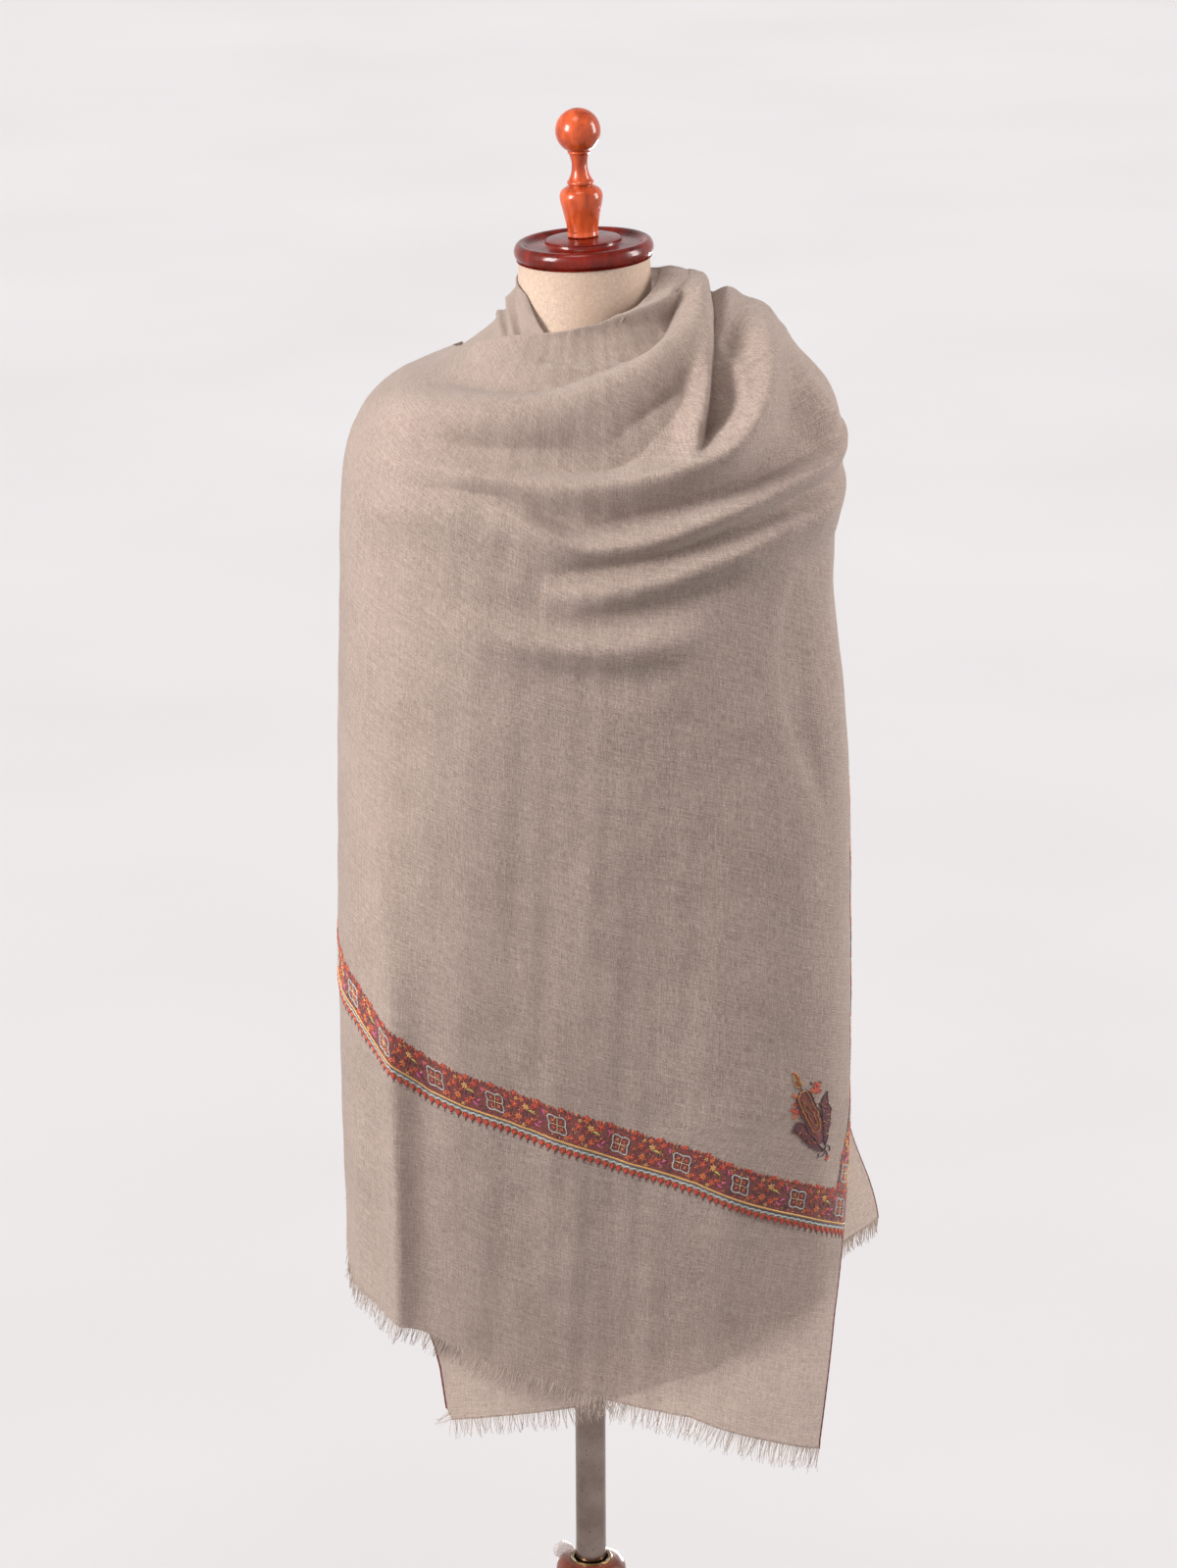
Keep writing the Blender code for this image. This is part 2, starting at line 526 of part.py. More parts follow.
def leg(name, degrees):
    """A cabriole leg: a flat outline along the leg's run, with round edges."""
    run = ((HUB_R + REST_GAP, 0.235, 0.0500), (0.060, 0.238, 0.0440),
           (0.100, 0.222, 0.0340), (0.140, 0.180, 0.0270), (0.172, 0.130, 0.0230),
           (0.204, 0.080, 0.0210), (0.242, 0.040, 0.0210), (0.282, 0.0190, 0.0240))
    line = rows_at(np.array(run), np.linspace(0.0, len(run) - 1.0, 29))
    way = np.gradient(line[:, :2], axis=0)
    way /= np.linalg.norm(way, axis=1, keepdims=True)
    square = np.stack([-way[:, 1], way[:, 0]], 1)
    square[0] = (0.0, 1.0)
    upper = line[:, :2] + square * line[:, 2:3] / 2.0
    lower = line[:, :2] - square * line[:, 2:3] / 2.0
    upper[0, 0] = lower[0, 0] = HUB_R + REST_GAP
    pad = [(0.300, 0.0290), (0.3120, 0.0230), (LEG_REACH - 0.001, 0.0120),
           (LEG_REACH - 0.003, 0.0), (0.2680, 0.0)]
    lower = lower[lower[:, 1] > 0.0080]
    outline = [tuple(p) for p in upper] + pad + [tuple(p) for p in lower[::-1]]
    curve = bpy.data.curves.new(name, "CURVE")
    curve.dimensions = "2D"
    curve.fill_mode = "BOTH"
    curve.extrude = LEG_WIDTH / 2.0
    spline = curve.splines.new("POLY")
    spline.points.add(len(outline) - 1)
    for point, (r, h) in zip(spline.points, outline):
        point.co = (r, h, 0.0, 1.0)
    spline.use_cyclic_u = True
    flat = bpy.data.objects.new(name + "_outline", curve)
    shawl_on_form.objects.link(flat)
    bpy.context.view_layer.update()
    mesh = bpy.data.meshes.new_from_object(
        flat.evaluated_get(bpy.context.evaluated_depsgraph_get()))
    bpy.data.objects.remove(flat, do_unlink=True)
    bm = bmesh.new()
    bm.from_mesh(mesh)
    bmesh.ops.remove_doubles(bm, verts=bm.verts, dist=0.00002)
    bmesh.ops.recalc_face_normals(bm, faces=bm.faces)
    bm.to_mesh(mesh)
    bm.free()
    mesh.name = name
    obj = add_object(name, mesh, "stand_wood")
    obj.rotation_euler = (math.radians(90.0), 0.0, -math.radians(degrees))
    return obj


for number, degrees in enumerate(LEG_ANGLES, 1):
    leg("base_leg_%d" % number, degrees)


def lock_knob():
    """A two-lobed thumb knob and its screw, in the back of the hub."""
    away = math.radians(KNOB_ANGLE)
    out = np.array([math.cos(away), -math.sin(away), 0.0])
    bpy.ops.mesh.primitive_cylinder_add(vertices=20, radius=0.0030, depth=0.0100)
    screw = bpy.context.object
    screw_mesh = screw.data
    bpy.data.objects.remove(screw, do_unlink=True)
    obj = add_object("lock_screw", screw_mesh, "chrome", at_pole=False)
    obj.rotation_euler = (math.radians(90.0), 0.0, math.radians(90.0) - away)
    middle = out * (HUB_R + REST_GAP + 0.0050)
    obj.location = (middle[0], middle[1] + POLE_SET_BACK, KNOB_Z)
    smooth(screw_mesh)

    lobes = 40
    outline = []
    for k in range(lobes):
        a = 2.0 * math.pi * k / lobes
        r = 0.0125 + 0.0065 * math.cos(2.0 * a) - 0.0012 * math.sin(a)
        outline.append((r * math.cos(a), r * math.sin(a)))
    curve = bpy.data.curves.new("lock_knob", "CURVE")
    curve.dimensions = "2D"
    curve.fill_mode = "BOTH"
    curve.extrude = 0.0035
    spline = curve.splines.new("POLY")
    spline.points.add(lobes - 1)
    for point, (x, y) in zip(spline.points, outline):
        point.co = (x, y, 0.0, 1.0)
    spline.use_cyclic_u = True
    flat = bpy.data.objects.new("knob_outline", curve)
    shawl_on_form.objects.link(flat)
    bpy.context.view_layer.update()
    mesh = bpy.data.meshes.new_from_object(
        flat.evaluated_get(bpy.context.evaluated_depsgraph_get()))
    bpy.data.objects.remove(flat, do_unlink=True)
    bm = bmesh.new()
    bm.from_mesh(mesh)
    bmesh.ops.remove_doubles(bm, verts=bm.verts, dist=0.00002)
    bmesh.ops.recalc_face_normals(bm, faces=bm.faces)
    bmesh.ops.rotate(bm, verts=bm.verts, cent=(0, 0, 0),
                     matrix=Matrix.Rotation(math.radians(KNOB_TILT), 3, "Z"))
    bm.to_mesh(mesh)
    bm.free()
    knob = add_object("lock_knob", mesh, "clear_plastic", at_pole=False)
    knob.rotation_euler = (math.radians(90.0), 0.0, math.radians(90.0) - away)
    middle = out * (HUB_R + REST_GAP + 0.0100 + REST_GAP + 0.0035)
    knob.location = (middle[0], middle[1] + POLE_SET_BACK, KNOB_Z)


lock_knob()
bpy.context.view_layer.update()
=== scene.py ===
"""Looks of the pashmina shawl on its dress form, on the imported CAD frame.

Row frame: metres, +Z up, the front faces -Y, the floor is z = 0. The pole
stands at y = POLE_SET_BACK. "Form coordinates" are measured from the pole's
axis. Angles round the body start at +X and pass the front (90), the left
(180) and the back (270), in degrees.
"""
import math

import bmesh
import bpy
import numpy as np
from mathutils import Matrix, Vector


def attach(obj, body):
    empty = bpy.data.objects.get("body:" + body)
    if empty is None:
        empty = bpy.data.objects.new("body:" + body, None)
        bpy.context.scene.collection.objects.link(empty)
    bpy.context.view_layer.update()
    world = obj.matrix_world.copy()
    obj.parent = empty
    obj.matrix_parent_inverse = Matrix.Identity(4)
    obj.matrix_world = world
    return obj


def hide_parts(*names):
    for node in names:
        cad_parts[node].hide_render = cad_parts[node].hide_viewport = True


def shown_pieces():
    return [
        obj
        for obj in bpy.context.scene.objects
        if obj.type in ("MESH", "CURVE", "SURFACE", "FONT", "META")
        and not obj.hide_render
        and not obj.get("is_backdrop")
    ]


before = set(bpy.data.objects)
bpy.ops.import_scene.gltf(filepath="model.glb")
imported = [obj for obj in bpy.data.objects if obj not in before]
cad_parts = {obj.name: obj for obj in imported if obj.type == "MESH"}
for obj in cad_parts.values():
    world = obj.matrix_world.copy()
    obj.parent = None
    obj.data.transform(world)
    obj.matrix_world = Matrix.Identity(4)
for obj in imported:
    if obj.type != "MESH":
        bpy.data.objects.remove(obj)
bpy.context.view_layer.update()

rng = np.random.default_rng(11)

# ------------------------------------------------- sizes shared with the CAD
POLE_SET_BACK = 0.0736
UNDER_LIFT = 0.0008
OVER_LIFT = 0.0048
FRINGE_LONG = 0.022
FRINGE_SHORT = 0.016
NECK_TOP_Z = 1.5450
NECK_TILT = 2.5
TORSO_BOTTOM_Z = 0.5850
POLE_R = 0.01375
POLE_FOOT_Z = 0.2000
HUB_R = 0.0320
HUB_TOP_Z = 0.3350
HUB_BOTTOM_Z = 0.1500
HUB_BORE_R = 0.01405
COLLAR_R = 0.0195
LEG_REACH = 0.3180
LEG_WIDTH = 0.0260
LEG_ANGLES = (90.0, 210.0, 330.0)
KNOB_ANGLE = 248.0
KNOB_Z = 0.3180
KNOB_TILT = 28.0
REST_GAP = 0.0003
OVER_RIGHT, OVER_LEFT = -6.0, 208.0
UNDER_RIGHT, UNDER_LEFT = -7.0, 196.0
BACK_LEFT = -164.0
UNDER_CORNER = 136.0         # where the under layer's fringed edge ends

# Rings from the neck down, of the cloth and of the dress form under it: z at
# left, right, front, back; half width left, right; depth front, back; squareness
CLOTH = np.array((
    (1.526, 1.524, 1.501, 1.531, 0.0570, 0.0600, 0.0570, 0.0570, 2.0),
    (1.495, 1.514, 1.481, 1.506, 0.0700, 0.0790, 0.0700, 0.0690, 2.0),
    (1.461, 1.488, 1.451, 1.474, 0.1120, 0.1200, 0.0940, 0.0900, 2.1),
    (1.440, 1.457, 1.421, 1.437, 0.1560, 0.1600, 0.1130, 0.1080, 2.2),
    (1.402, 1.410, 1.383, 1.396, 0.1930, 0.2020, 0.1240, 0.1180, 2.3),
    (1.345, 1.348, 1.333, 1.342, 0.2045, 0.2150, 0.1350, 0.1220, 2.4),
    (1.250, 1.250, 1.245, 1.250, 0.2075, 0.2060, 0.1420, 0.1230, 2.5),
    (1.110, 1.110, 1.105, 1.110, 0.2110, 0.2200, 0.1400, 0.1240, 2.8),
    (0.960, 0.960, 0.955, 0.960, 0.2140, 0.2250, 0.1340, 0.1250, 3.2),
    (0.810, 0.810, 0.805, 0.810, 0.2140, 0.2260, 0.1300, 0.1260, 3.6),
    (0.640, 0.640, 0.635, 0.640, 0.2100, 0.2250, 0.1270, 0.1260, 4.0),
    (0.440, 0.440, 0.435, 0.440, 0.2080, 0.2220, 0.1250, 0.1260, 4.2),
))
TORSO = np.array((
    (1.5426, 1.5474, 1.5450, 1.5450, 0.0558, 0.0558, 0.0558, 0.0558, 2.0),
    (1.5230, 1.5250, 1.5150, 1.5290, 0.0566, 0.0566, 0.0566, 0.0566, 2.0),
    (1.5060, 1.5060, 1.4940, 1.5130, 0.0585, 0.0585, 0.0580, 0.0580, 2.0),
    (1.4900, 1.4900, 1.4780, 1.4990, 0.0670, 0.0670, 0.0660, 0.0660, 2.0),
    (1.4570, 1.4570, 1.4460, 1.4660, 0.1080, 0.1080, 0.0890, 0.0860, 2.1),
    (1.4350, 1.4350, 1.4150, 1.4300, 0.1500, 0.1500, 0.1070, 0.1030, 2.2),
    (1.3980, 1.3980, 1.3780, 1.3910, 0.1860, 0.1860, 0.1170, 0.1120, 2.3),
    (1.3450, 1.3450, 1.3330, 1.3420, 0.1960, 0.1960, 0.1270, 0.1150, 2.3),
    (1.2900, 1.2900, 1.2850, 1.2900, 0.1860, 0.1860, 0.1330, 0.1150, 2.2),
    (1.2250, 1.2250, 1.2250, 1.2250, 0.1700, 0.1700, 0.1340, 0.1100, 2.1),
    (1.1200, 1.1200, 1.1200, 1.1200, 0.1480, 0.1480, 0.1130, 0.1000, 2.1),
    (1.0200, 1.0200, 1.0200, 1.0200, 0.1300, 0.1300, 0.0930, 0.0900, 2.1),
    (0.9200, 0.9200, 0.9200, 0.9200, 0.1550, 0.1550, 0.1040, 0.1040, 2.1),
    (0.8000, 0.8000, 0.8000, 0.8000, 0.1800, 0.1800, 0.1130, 0.1160, 2.1),
    (0.7000, 0.7000, 0.7000, 0.7000, 0.1900, 0.1900, 0.1150, 0.1180, 2.2),
    (0.6200, 0.6200, 0.6200, 0.6200, 0.1900, 0.1900, 0.1110, 0.1120, 2.2),
    (0.5930, 0.5930, 0.5930, 0.5930, 0.1830, 0.1830, 0.1040, 0.1050, 2.2),
    (0.5860, 0.5860, 0.5860, 0.5860, 0.1710, 0.1710, 0.0950, 0.0960, 2.2),
    (0.5850, 0.5850, 0.5850, 0.5850, 0.1550, 0.1550, 0.0840, 0.0850, 2.2),
))

# Folds of the over layer, seen from the front: name, reach above, reach
# below, sharpness (2 soft, 1 creased), then (x, z, height), right to left.
FOLDS = (
    ("collar roll", 0.013, 0.020, 2.0, (
        (0.072, 1.524, 0.010), (0.088, 1.506, 0.013), (0.086, 1.488, 0.014),
        (0.068, 1.474, 0.013), (0.044, 1.461, 0.011), (0.010, 1.449, 0.010),
        (-0.020, 1.440, 0.009), (-0.060, 1.433, 0.008), (-0.110, 1.430, 0.007),
        (-0.155, 1.424, 0.004), (-0.190, 1.414, 0.000))),
    ("pocket fold", 0.010, 0.009, 2.0, (
        (0.106, 1.488, 0.004), (0.100, 1.466, 0.010), (0.096, 1.444, 0.014),
        (0.090, 1.420, 0.012), (0.080, 1.404, 0.004))),
    ("cowl", 0.011, 0.018, 2.0, (
        (0.112, 1.500, 0.010), (0.130, 1.480, 0.016), (0.137, 1.458, 0.021),
        (0.137, 1.438, 0.023), (0.129, 1.419, 0.023), (0.113, 1.404, 0.021),
        (0.090, 1.394, 0.018), (0.065, 1.387, 0.016), (0.035, 1.382, 0.014),
        (0.000, 1.379, 0.012), (-0.030, 1.379, 0.010), (-0.065, 1.381, 0.008),
        (-0.100, 1.384, 0.006), (-0.140, 1.388, 0.004), (-0.185, 1.392, 0.000))),
    ("shoulder fold", 0.010, 0.016, 2.0, (
        (0.160, 1.462, 0.006), (0.172, 1.442, 0.008), (0.187, 1.422, 0.008),
        (0.203, 1.400, 0.008), (0.214, 1.380, 0.005))),
    ("upper swag", 0.010, 0.014, 2.0, (
        (0.218, 1.394, 0.006), (0.200, 1.384, 0.009), (0.167, 1.374, 0.012),
        (0.134, 1.362, 0.013), (0.100, 1.351, 0.013), (0.068, 1.340, 0.012),
        (0.035, 1.332, 0.011), (-0.005, 1.331, 0.009), (-0.030, 1.336, 0.007),
        (-0.055, 1.345, 0.004), (-0.080, 1.354, 0.000))),
    ("lower swag", 0.011, 0.016, 2.0, (
        (0.218, 1.354, 0.006), (0.200, 1.348, 0.008), (0.167, 1.339, 0.009),
        (0.133, 1.326, 0.010), (0.100, 1.314, 0.010), (0.068, 1.303, 0.009),
        (0.035, 1.296, 0.008), (0.000, 1.292, 0.006), (-0.035, 1.296, 0.000))),
    ("last swag", 0.012, 0.018, 2.0, (
        (0.110, 1.258, 0.000), (0.068, 1.249, 0.004), (0.035, 1.245, 0.006),
        (0.000, 1.245, 0.007), (-0.040, 1.250, 0.006), (-0.072, 1.257, 0.004),
        (-0.110, 1.268, 0.000))),
    ("side roll", 0.018, 0.022, 2.0, (
        (0.215, 1.300, 0.000), (0.212, 1.240, 0.004), (0.214, 1.180, 0.007),
        (0.218, 1.110, 0.006), (0.224, 1.030, 0.003), (0.226, 0.960, 0.000))),
    ("left edge", 0.014, 0.014, 2.0, (
        (-0.176, 1.090, 0.000), (-0.169, 0.990, 0.003), (-0.164, 0.880, 0.006),
        (-0.163, 0.760, 0.006), (-0.162, 0.600, 0.006))),
)

# The looks' folds are this much higher than the CAD's.
FOLD_GAIN = 1.60
# The finer ones, which only the looks carry. A minus height is a valley.
FINE_FOLDS = (
    ("neckline rim", 0.004, 0.007, 1.6, (
        (0.066, 1.509, 0.007), (0.036, 1.503, 0.007), (0.003, 1.499, 0.005),
        (-0.033, 1.494, 0.004), (-0.060, 1.485, 0.004), (-0.085, 1.474, 0.003))),
    ("first crease", 0.005, 0.003, 1.0, (
        (0.074, 1.504, -0.006), (0.067, 1.489, -0.009), (0.052, 1.479, -0.010),
        (0.036, 1.475, -0.009), (0.003, 1.473, -0.007), (-0.032, 1.472, -0.003))),
    ("first crest", 0.004, 0.007, 1.5, (
        (0.080, 1.500, 0.003), (0.069, 1.488, 0.004), (0.056, 1.477, 0.004),
        (0.036, 1.470, 0.004), (0.003, 1.467, 0.003), (-0.030, 1.467, 0.002))),
    ("second valley", 0.006, 0.006, 1.4, (
        (0.062, 1.483, -0.002), (0.044, 1.474, -0.005), (0.023, 1.466, -0.006),
        (0.003, 1.460, -0.005), (-0.022, 1.454, -0.005), (-0.046, 1.451, -0.005),
        (-0.079, 1.451, -0.005), (-0.112, 1.449, -0.003), (-0.150, 1.441, 0.0))),
    ("third valley", 0.012, 0.010, 1.5, (
        (0.004, 1.404, 0.000), (-0.030, 1.401, -0.004), (-0.063, 1.404, -0.005),
        (-0.104, 1.408, -0.004), (-0.145, 1.412, -0.003), (-0.180, 1.410, 0.0))),
    ("pocket", 0.012, 0.006, 1.3, (
        (0.099, 1.466, -0.002), (0.089, 1.450, -0.006), (0.068, 1.434, -0.008),
        (0.045, 1.413, -0.010), (0.028, 1.396, -0.010), (0.003, 1.391, -0.008),
        (-0.026, 1.391, -0.005), (-0.060, 1.394, 0.000))),
    ("dark slot", 0.004, 0.005, 1.2, (
        (0.092, 1.530, -0.008), (0.098, 1.510, -0.010), (0.103, 1.488, -0.009),
        (0.105, 1.464, -0.009), (0.104, 1.442, -0.010), (0.101, 1.420, -0.009),
        (0.094, 1.406, -0.004))),
    ("inner lip", 0.005, 0.005, 1.5, (
        (0.110, 1.470, 0.003), (0.120, 1.459, 0.005), (0.124, 1.446, 0.006),
        (0.122, 1.430, 0.006), (0.113, 1.419, 0.005), (0.100, 1.413, 0.004),
        (0.083, 1.405, 0.002))),
    ("fourth valley", 0.009, 0.007, 1.4, (
        (0.202, 1.395, -0.004), (0.167, 1.387, -0.006), (0.134, 1.374, -0.007),
        (0.101, 1.364, -0.007), (0.068, 1.353, -0.007), (0.035, 1.346, -0.006),
        (0.002, 1.342, -0.005), (-0.022, 1.351, -0.005), (-0.047, 1.363, -0.004),
        (-0.079, 1.371, -0.004), (-0.129, 1.374, -0.001))),
    ("small ridge", 0.005, 0.005, 1.5, (
        (-0.006, 1.328, 0.000), (-0.020, 1.336, 0.002), (-0.040, 1.345, 0.003),
        (-0.058, 1.353, 0.002), (-0.085, 1.362, 0.000))),
    ("fifth valley", 0.008, 0.007, 1.4, (
        (0.206, 1.366, -0.004), (0.167, 1.357, -0.005), (0.133, 1.343, -0.005),
        (0.100, 1.331, -0.006), (0.068, 1.321, -0.005), (0.035, 1.315, -0.005),
        (0.010, 1.310, -0.004), (-0.016, 1.306, -0.003), (-0.050, 1.308, 0.0))),
    ("sixth valley", 0.012, 0.009, 1.5, (
        (0.140, 1.306, 0.000), (0.100, 1.290, -0.003), (0.068, 1.278, -0.004),
        (0.035, 1.267, -0.005), (0.002, 1.263, -0.005), (-0.030, 1.264, -0.004),
        (-0.060, 1.274, -0.003), (-0.095, 1.290, 0.000))),
    ("seventh valley", 0.014, 0.014, 1.6, (
        (0.090, 1.226, 0.000), (0.045, 1.216, -0.002), (0.002, 1.215, -0.003),
        (-0.040, 1.223, -0.002), (-0.085, 1.240, 0.000))),
    ("right groove", 0.008, 0.011, 1.3, (
        (0.228, 1.308, -0.002), (0.194, 1.303, -0.004), (0.175, 1.266, -0.005),
        (0.170, 1.217, -0.005), (0.178, 1.165, -0.004), (0.193, 1.110, -0.003),
        (0.211, 1.044, 0.000))),
    ("right shoulder edge", 0.006, 0.008, 1.5, (
        (0.167, 1.447, 0.001), (0.180, 1.430, 0.003), (0.195, 1.412, 0.003),
        (0.207, 1.394, 0.001))),
    ("shoulder slack", 0.016, 0.020, 2.0, (
        (-0.060, 1.340, 0.000), (-0.090, 1.348, 0.003), (-0.125, 1.353, 0.004),
        (-0.160, 1.352, 0.003), (-0.195, 1.345, 0.000))),
    ("left edge crease", 0.006, 0.006, 1.4, (
        (-0.167, 0.930, 0.000), (-0.163, 0.850, 0.002), (-0.161, 0.760, 0.003),
        (-0.161, 0.600, 0.003))),
    ("long fold right", 0.030, 0.030, 2.0, (
        (0.138, 1.120, 0.000), (0.130, 1.000, 0.0018), (0.124, 0.850, 0.002),
        (0.118, 0.680, 0.002), (0.112, 0.520, 0.002))),
    ("long fold middle", 0.034, 0.030, 2.0, (
        (0.020, 1.190, 0.000), (0.012, 1.050, 0.0012), (-0.004, 0.880, 0.0015),
        (-0.020, 0.700, 0.002), (-0.030, 0.540, 0.002))),
    ("long fold left", 0.026, 0.030, 2.0, (
        (-0.100, 1.230, 0.000), (-0.096, 1.080, 0.0012), (-0.102, 0.900, 0.0012),
        (-0.110, 0.720, 0.0015), (-0.112, 0.560, 0.0015))),
)

# Pleats of the under layer beside the neck, at the left.
NECK_PLEATS = (
    ("outer pleat", 0.0030, 0.0035, 1.5, (
        (-0.074, 1.520, 0.004), (-0.073, 1.503, 0.005), (-0.069, 1.488, 0.005),
        (-0.066, 1.472, 0.003))),
    ("outer crease", 0.0022, 0.0022, 1.1, (
        (-0.069, 1.522, -0.003), (-0.067, 1.504, -0.004), (-0.064, 1.488, -0.004),
        (-0.061, 1.474, -0.003))),
    ("inner pleat", 0.0030, 0.0030, 1.5, (
        (-0.064, 1.526, 0.003), (-0.062, 1.508, 0.005), (-0.059, 1.490, 0.005),
        (-0.056, 1.476, 0.003))),
    ("inner crease", 0.0020, 0.0020, 1.1, (
        (-0.059, 1.528, -0.002), (-0.057, 1.510, -0.003), (-0.054, 1.492, -0.003),
        (-0.051, 1.480, -0.002))),
    ("neck edge", 0.0040, 0.0040, 1.6, (
        (-0.055, 1.530, 0.002), (-0.050, 1.514, 0.003), (-0.041, 1.502, 0.003),
        (-0.031, 1.494, 0.002))),
)

# (angle, z) of the hems; (angle, ring number) of the upper edges
OVER_HEM = ((20, 0.484), (26, 0.490), (55, 0.537), (90, 0.560), (125, 0.589),
            (142, 0.620), (160, 0.646), (180, 0.678), (208, 0.735))
UNDER_HEM = ((-7, 0.657), (5, 0.655), (18, 0.645), (30, 0.622), (49, 0.580),
             (90, 0.546), (123, 0.534), (136, 0.528), (138, 0.590), (144, 0.655),
             (165, 0.720), (180, 0.765), (196, 0.800))
BACK_HEM = ((-164, 0.800), (-120, 0.792), (-90, 0.780), (-60, 0.772),
            (-30, 0.786), (-6, 0.812))
OVER_TOP = ((-6, 0.0), (10, 0.02), (26, 0.26), (45, 0.30), (66, 0.30), (90, 0.38),
            (118, 0.80), (135, 1.12), (150, 1.38), (165, 1.62), (180, 1.85),
            (208, 2.3))
UNDER_TOP = ((-7, 5.7), (0, 5.5), (30, 4.2), (60, 3.0), (90, 2.2), (104, 1.3),
             (118, 0.82), (133, 0.40), (148, 0.0), (196, 0.0))
# Height of the embroidered gold line on the over layer: (angle, z)
GOLD_LINE = ((15, 0.688), (19, 0.694), (38, 0.730), (54, 0.757), (80, 0.781),
             (114, 0.810), (130, 0.829), (138, 0.843), (144, 0.862), (150, 0.881),
             (157, 0.902), (164, 0.916), (172, 0.924), (190, 0.946), (208, 0.972))
# (z, angle) of the over layer's edge at the right
OVER_SELVEDGE = ((0.44, 27), (0.50, 26), (0.62, 22), (0.70, 17.5), (0.76, 12.5),
                 (0.79, 6), (0.812, -6), (1.60, -6))
UNDER_CORNER_FLARE = 0.038
UNDER_TUCK = 0.0055
OVER_SEAM_Z, UNDER_SEAM_Z = 0.815, 0.83


# ------------------------------------------------------------ ring surfaces
def smoothstep(low, high, x):
    t = np.clip((x - low) / (high - low), 0.0, 1.0)
    return t * t * (3.0 - 2.0 * t)


def rows_at(table, w):
    """Catmull-Rom blend of the rows of a table at row number w."""
    last = len(table) - 1
    w = np.clip(w, 0.0, last - 1e-6)
    k = np.floor(w).astype(int)
    t = (w - k)[..., None]
    p0, p1 = table[np.clip(k - 1, 0, last)], table[k]
    p2, p3 = table[k + 1], table[np.clip(k + 2, 0, last)]
    m1, m2 = (p2 - p0) * 0.5, (p3 - p1) * 0.5
    return ((2 * t ** 3 - 3 * t ** 2 + 1) * p1 + (t ** 3 - 2 * t ** 2 + t) * m1
            + (3 * t ** 2 - 2 * t ** 3) * p2 + (t ** 3 - t ** 2) * m2)


def ring_point(table, angle, w):
    """Point of the surface at an angle round the body (radians)."""
    c, s = np.cos(angle), np.sin(angle)
    row = rows_at(table, w)
    zl, zr, zf, zb, left, right, front, back, square = np.moveaxis(row, -1, 0)
    half = np.where(c > 0.0, right, left)
    depth = np.where(s > 0.0, front, back)
    radius = (np.abs(c / half) ** square
              + np.abs(s / depth) ** square) ** (-1.0 / square)
    z = c * c * np.where(c > 0.0, zr, zl) + s * s * np.where(s > 0.0, zf, zb)
    return np.stack([radius * c, -radius * s, z], -1)


RING_NUMBERS = np.linspace(0.0, len(CLOTH) - 1.0, 400)
RING_HEIGHTS = rows_at(CLOTH, RING_NUMBERS)[:, 0]


def ring_of_height(z):
    return np.interp(-z, -RING_HEIGHTS, RING_NUMBERS)


def from_pairs(pairs, x):
    keys, values = zip(*pairs)
    return np.interp(x, keys, values)


def cloth_base(angle, w):
    """Points of the base shape and its outward normals."""
    e, f = 0.004, 0.02
    point = ring_point(CLOTH, angle, w)
    round_it = (ring_point(CLOTH, angle + e, w)
                - ring_point(CLOTH, angle - e, w))
    down = (ring_point(CLOTH, angle, np.minimum(w + f, 10.99))
            - ring_point(CLOTH, angle, np.maximum(w - f, 0.0)))
    normal = np.cross(round_it, down)
    normal /= np.linalg.norm(normal, axis=-1, keepdims=True)
    return point, normal


def along(points, count):
    """count samples of a Catmull-Rom line through the points."""
    return rows_at(np.array(points, float),
                   np.linspace(0.0, len(points) - 1.0, count))


def fold_height(point, folds):
    """How far these folds lift the over layer at these points."""
    x, y, z = point[..., 0], point[..., 1], point[..., 2]
    total = np.zeros(x.shape)
    for _name, above, below, power, crest in folds:
        line = along(crest, 64)
        step = np.gradient(line, axis=0)
        margin = 3.2 * max(above, below)
        lo, hi = line[:, :2].min(0) - margin, line[:, :2].max(0) + margin
        hit = ((x > lo[0]) & (x < hi[0]) & (z > lo[1]) & (z < hi[1])
               & (y < 0.07))
        if not hit.any():
            continue
        dx = x[hit][:, None] - line[:, 0]
        dz = z[hit][:, None] - line[:, 1]
        near = np.argmin(dx * dx + dz * dz, axis=-1)
        dx = np.take_along_axis(dx, near[:, None], -1)[:, 0]
        dz = np.take_along_axis(dz, near[:, None], -1)[:, 0]
        sx, sz = step[near, 0], step[near, 1]
        size = sx * sx + sz * sz
        side = (sx * dz - sz * dx) / np.sqrt(size)
        onward = np.clip((dx * sx + dz * sz) / size, -0.6, 0.6)
        inside = (near > 0) & (near < len(line) - 1)
        distance = np.where(inside, np.abs(side), np.sqrt(dx * dx + dz * dz))
        height = line[near, 2] + onward * step[near, 2]
        reach = np.where(side < 0.0, above, below)
        total[hit] += height * np.exp(-(distance / (reach * 1.06)) ** power)
    return total * (1.0 - smoothstep(0.01, 0.07, y))


def slack(point, angle):
    """The uneven, very shallow waves of a soft hanging cloth."""
    z = point[..., 2]
    low = smoothstep(1.30, 1.05, z)
    wave = (0.0005 * np.sin(angle * 7.0 + z * 9.0 + 0.6)
            + 0.0003 * np.sin(angle * 13.0 - z * 14.0 + 2.1)
            + 0.0002 * np.sin(angle * 23.0 + z * 23.0 + 4.0))
    dimple = (0.0004 * np.sin(angle * 23.0 + z * 61.0)
              * np.sin(z * 47.0 - angle * 13.0 + 1.0))
    return wave * low + dimple


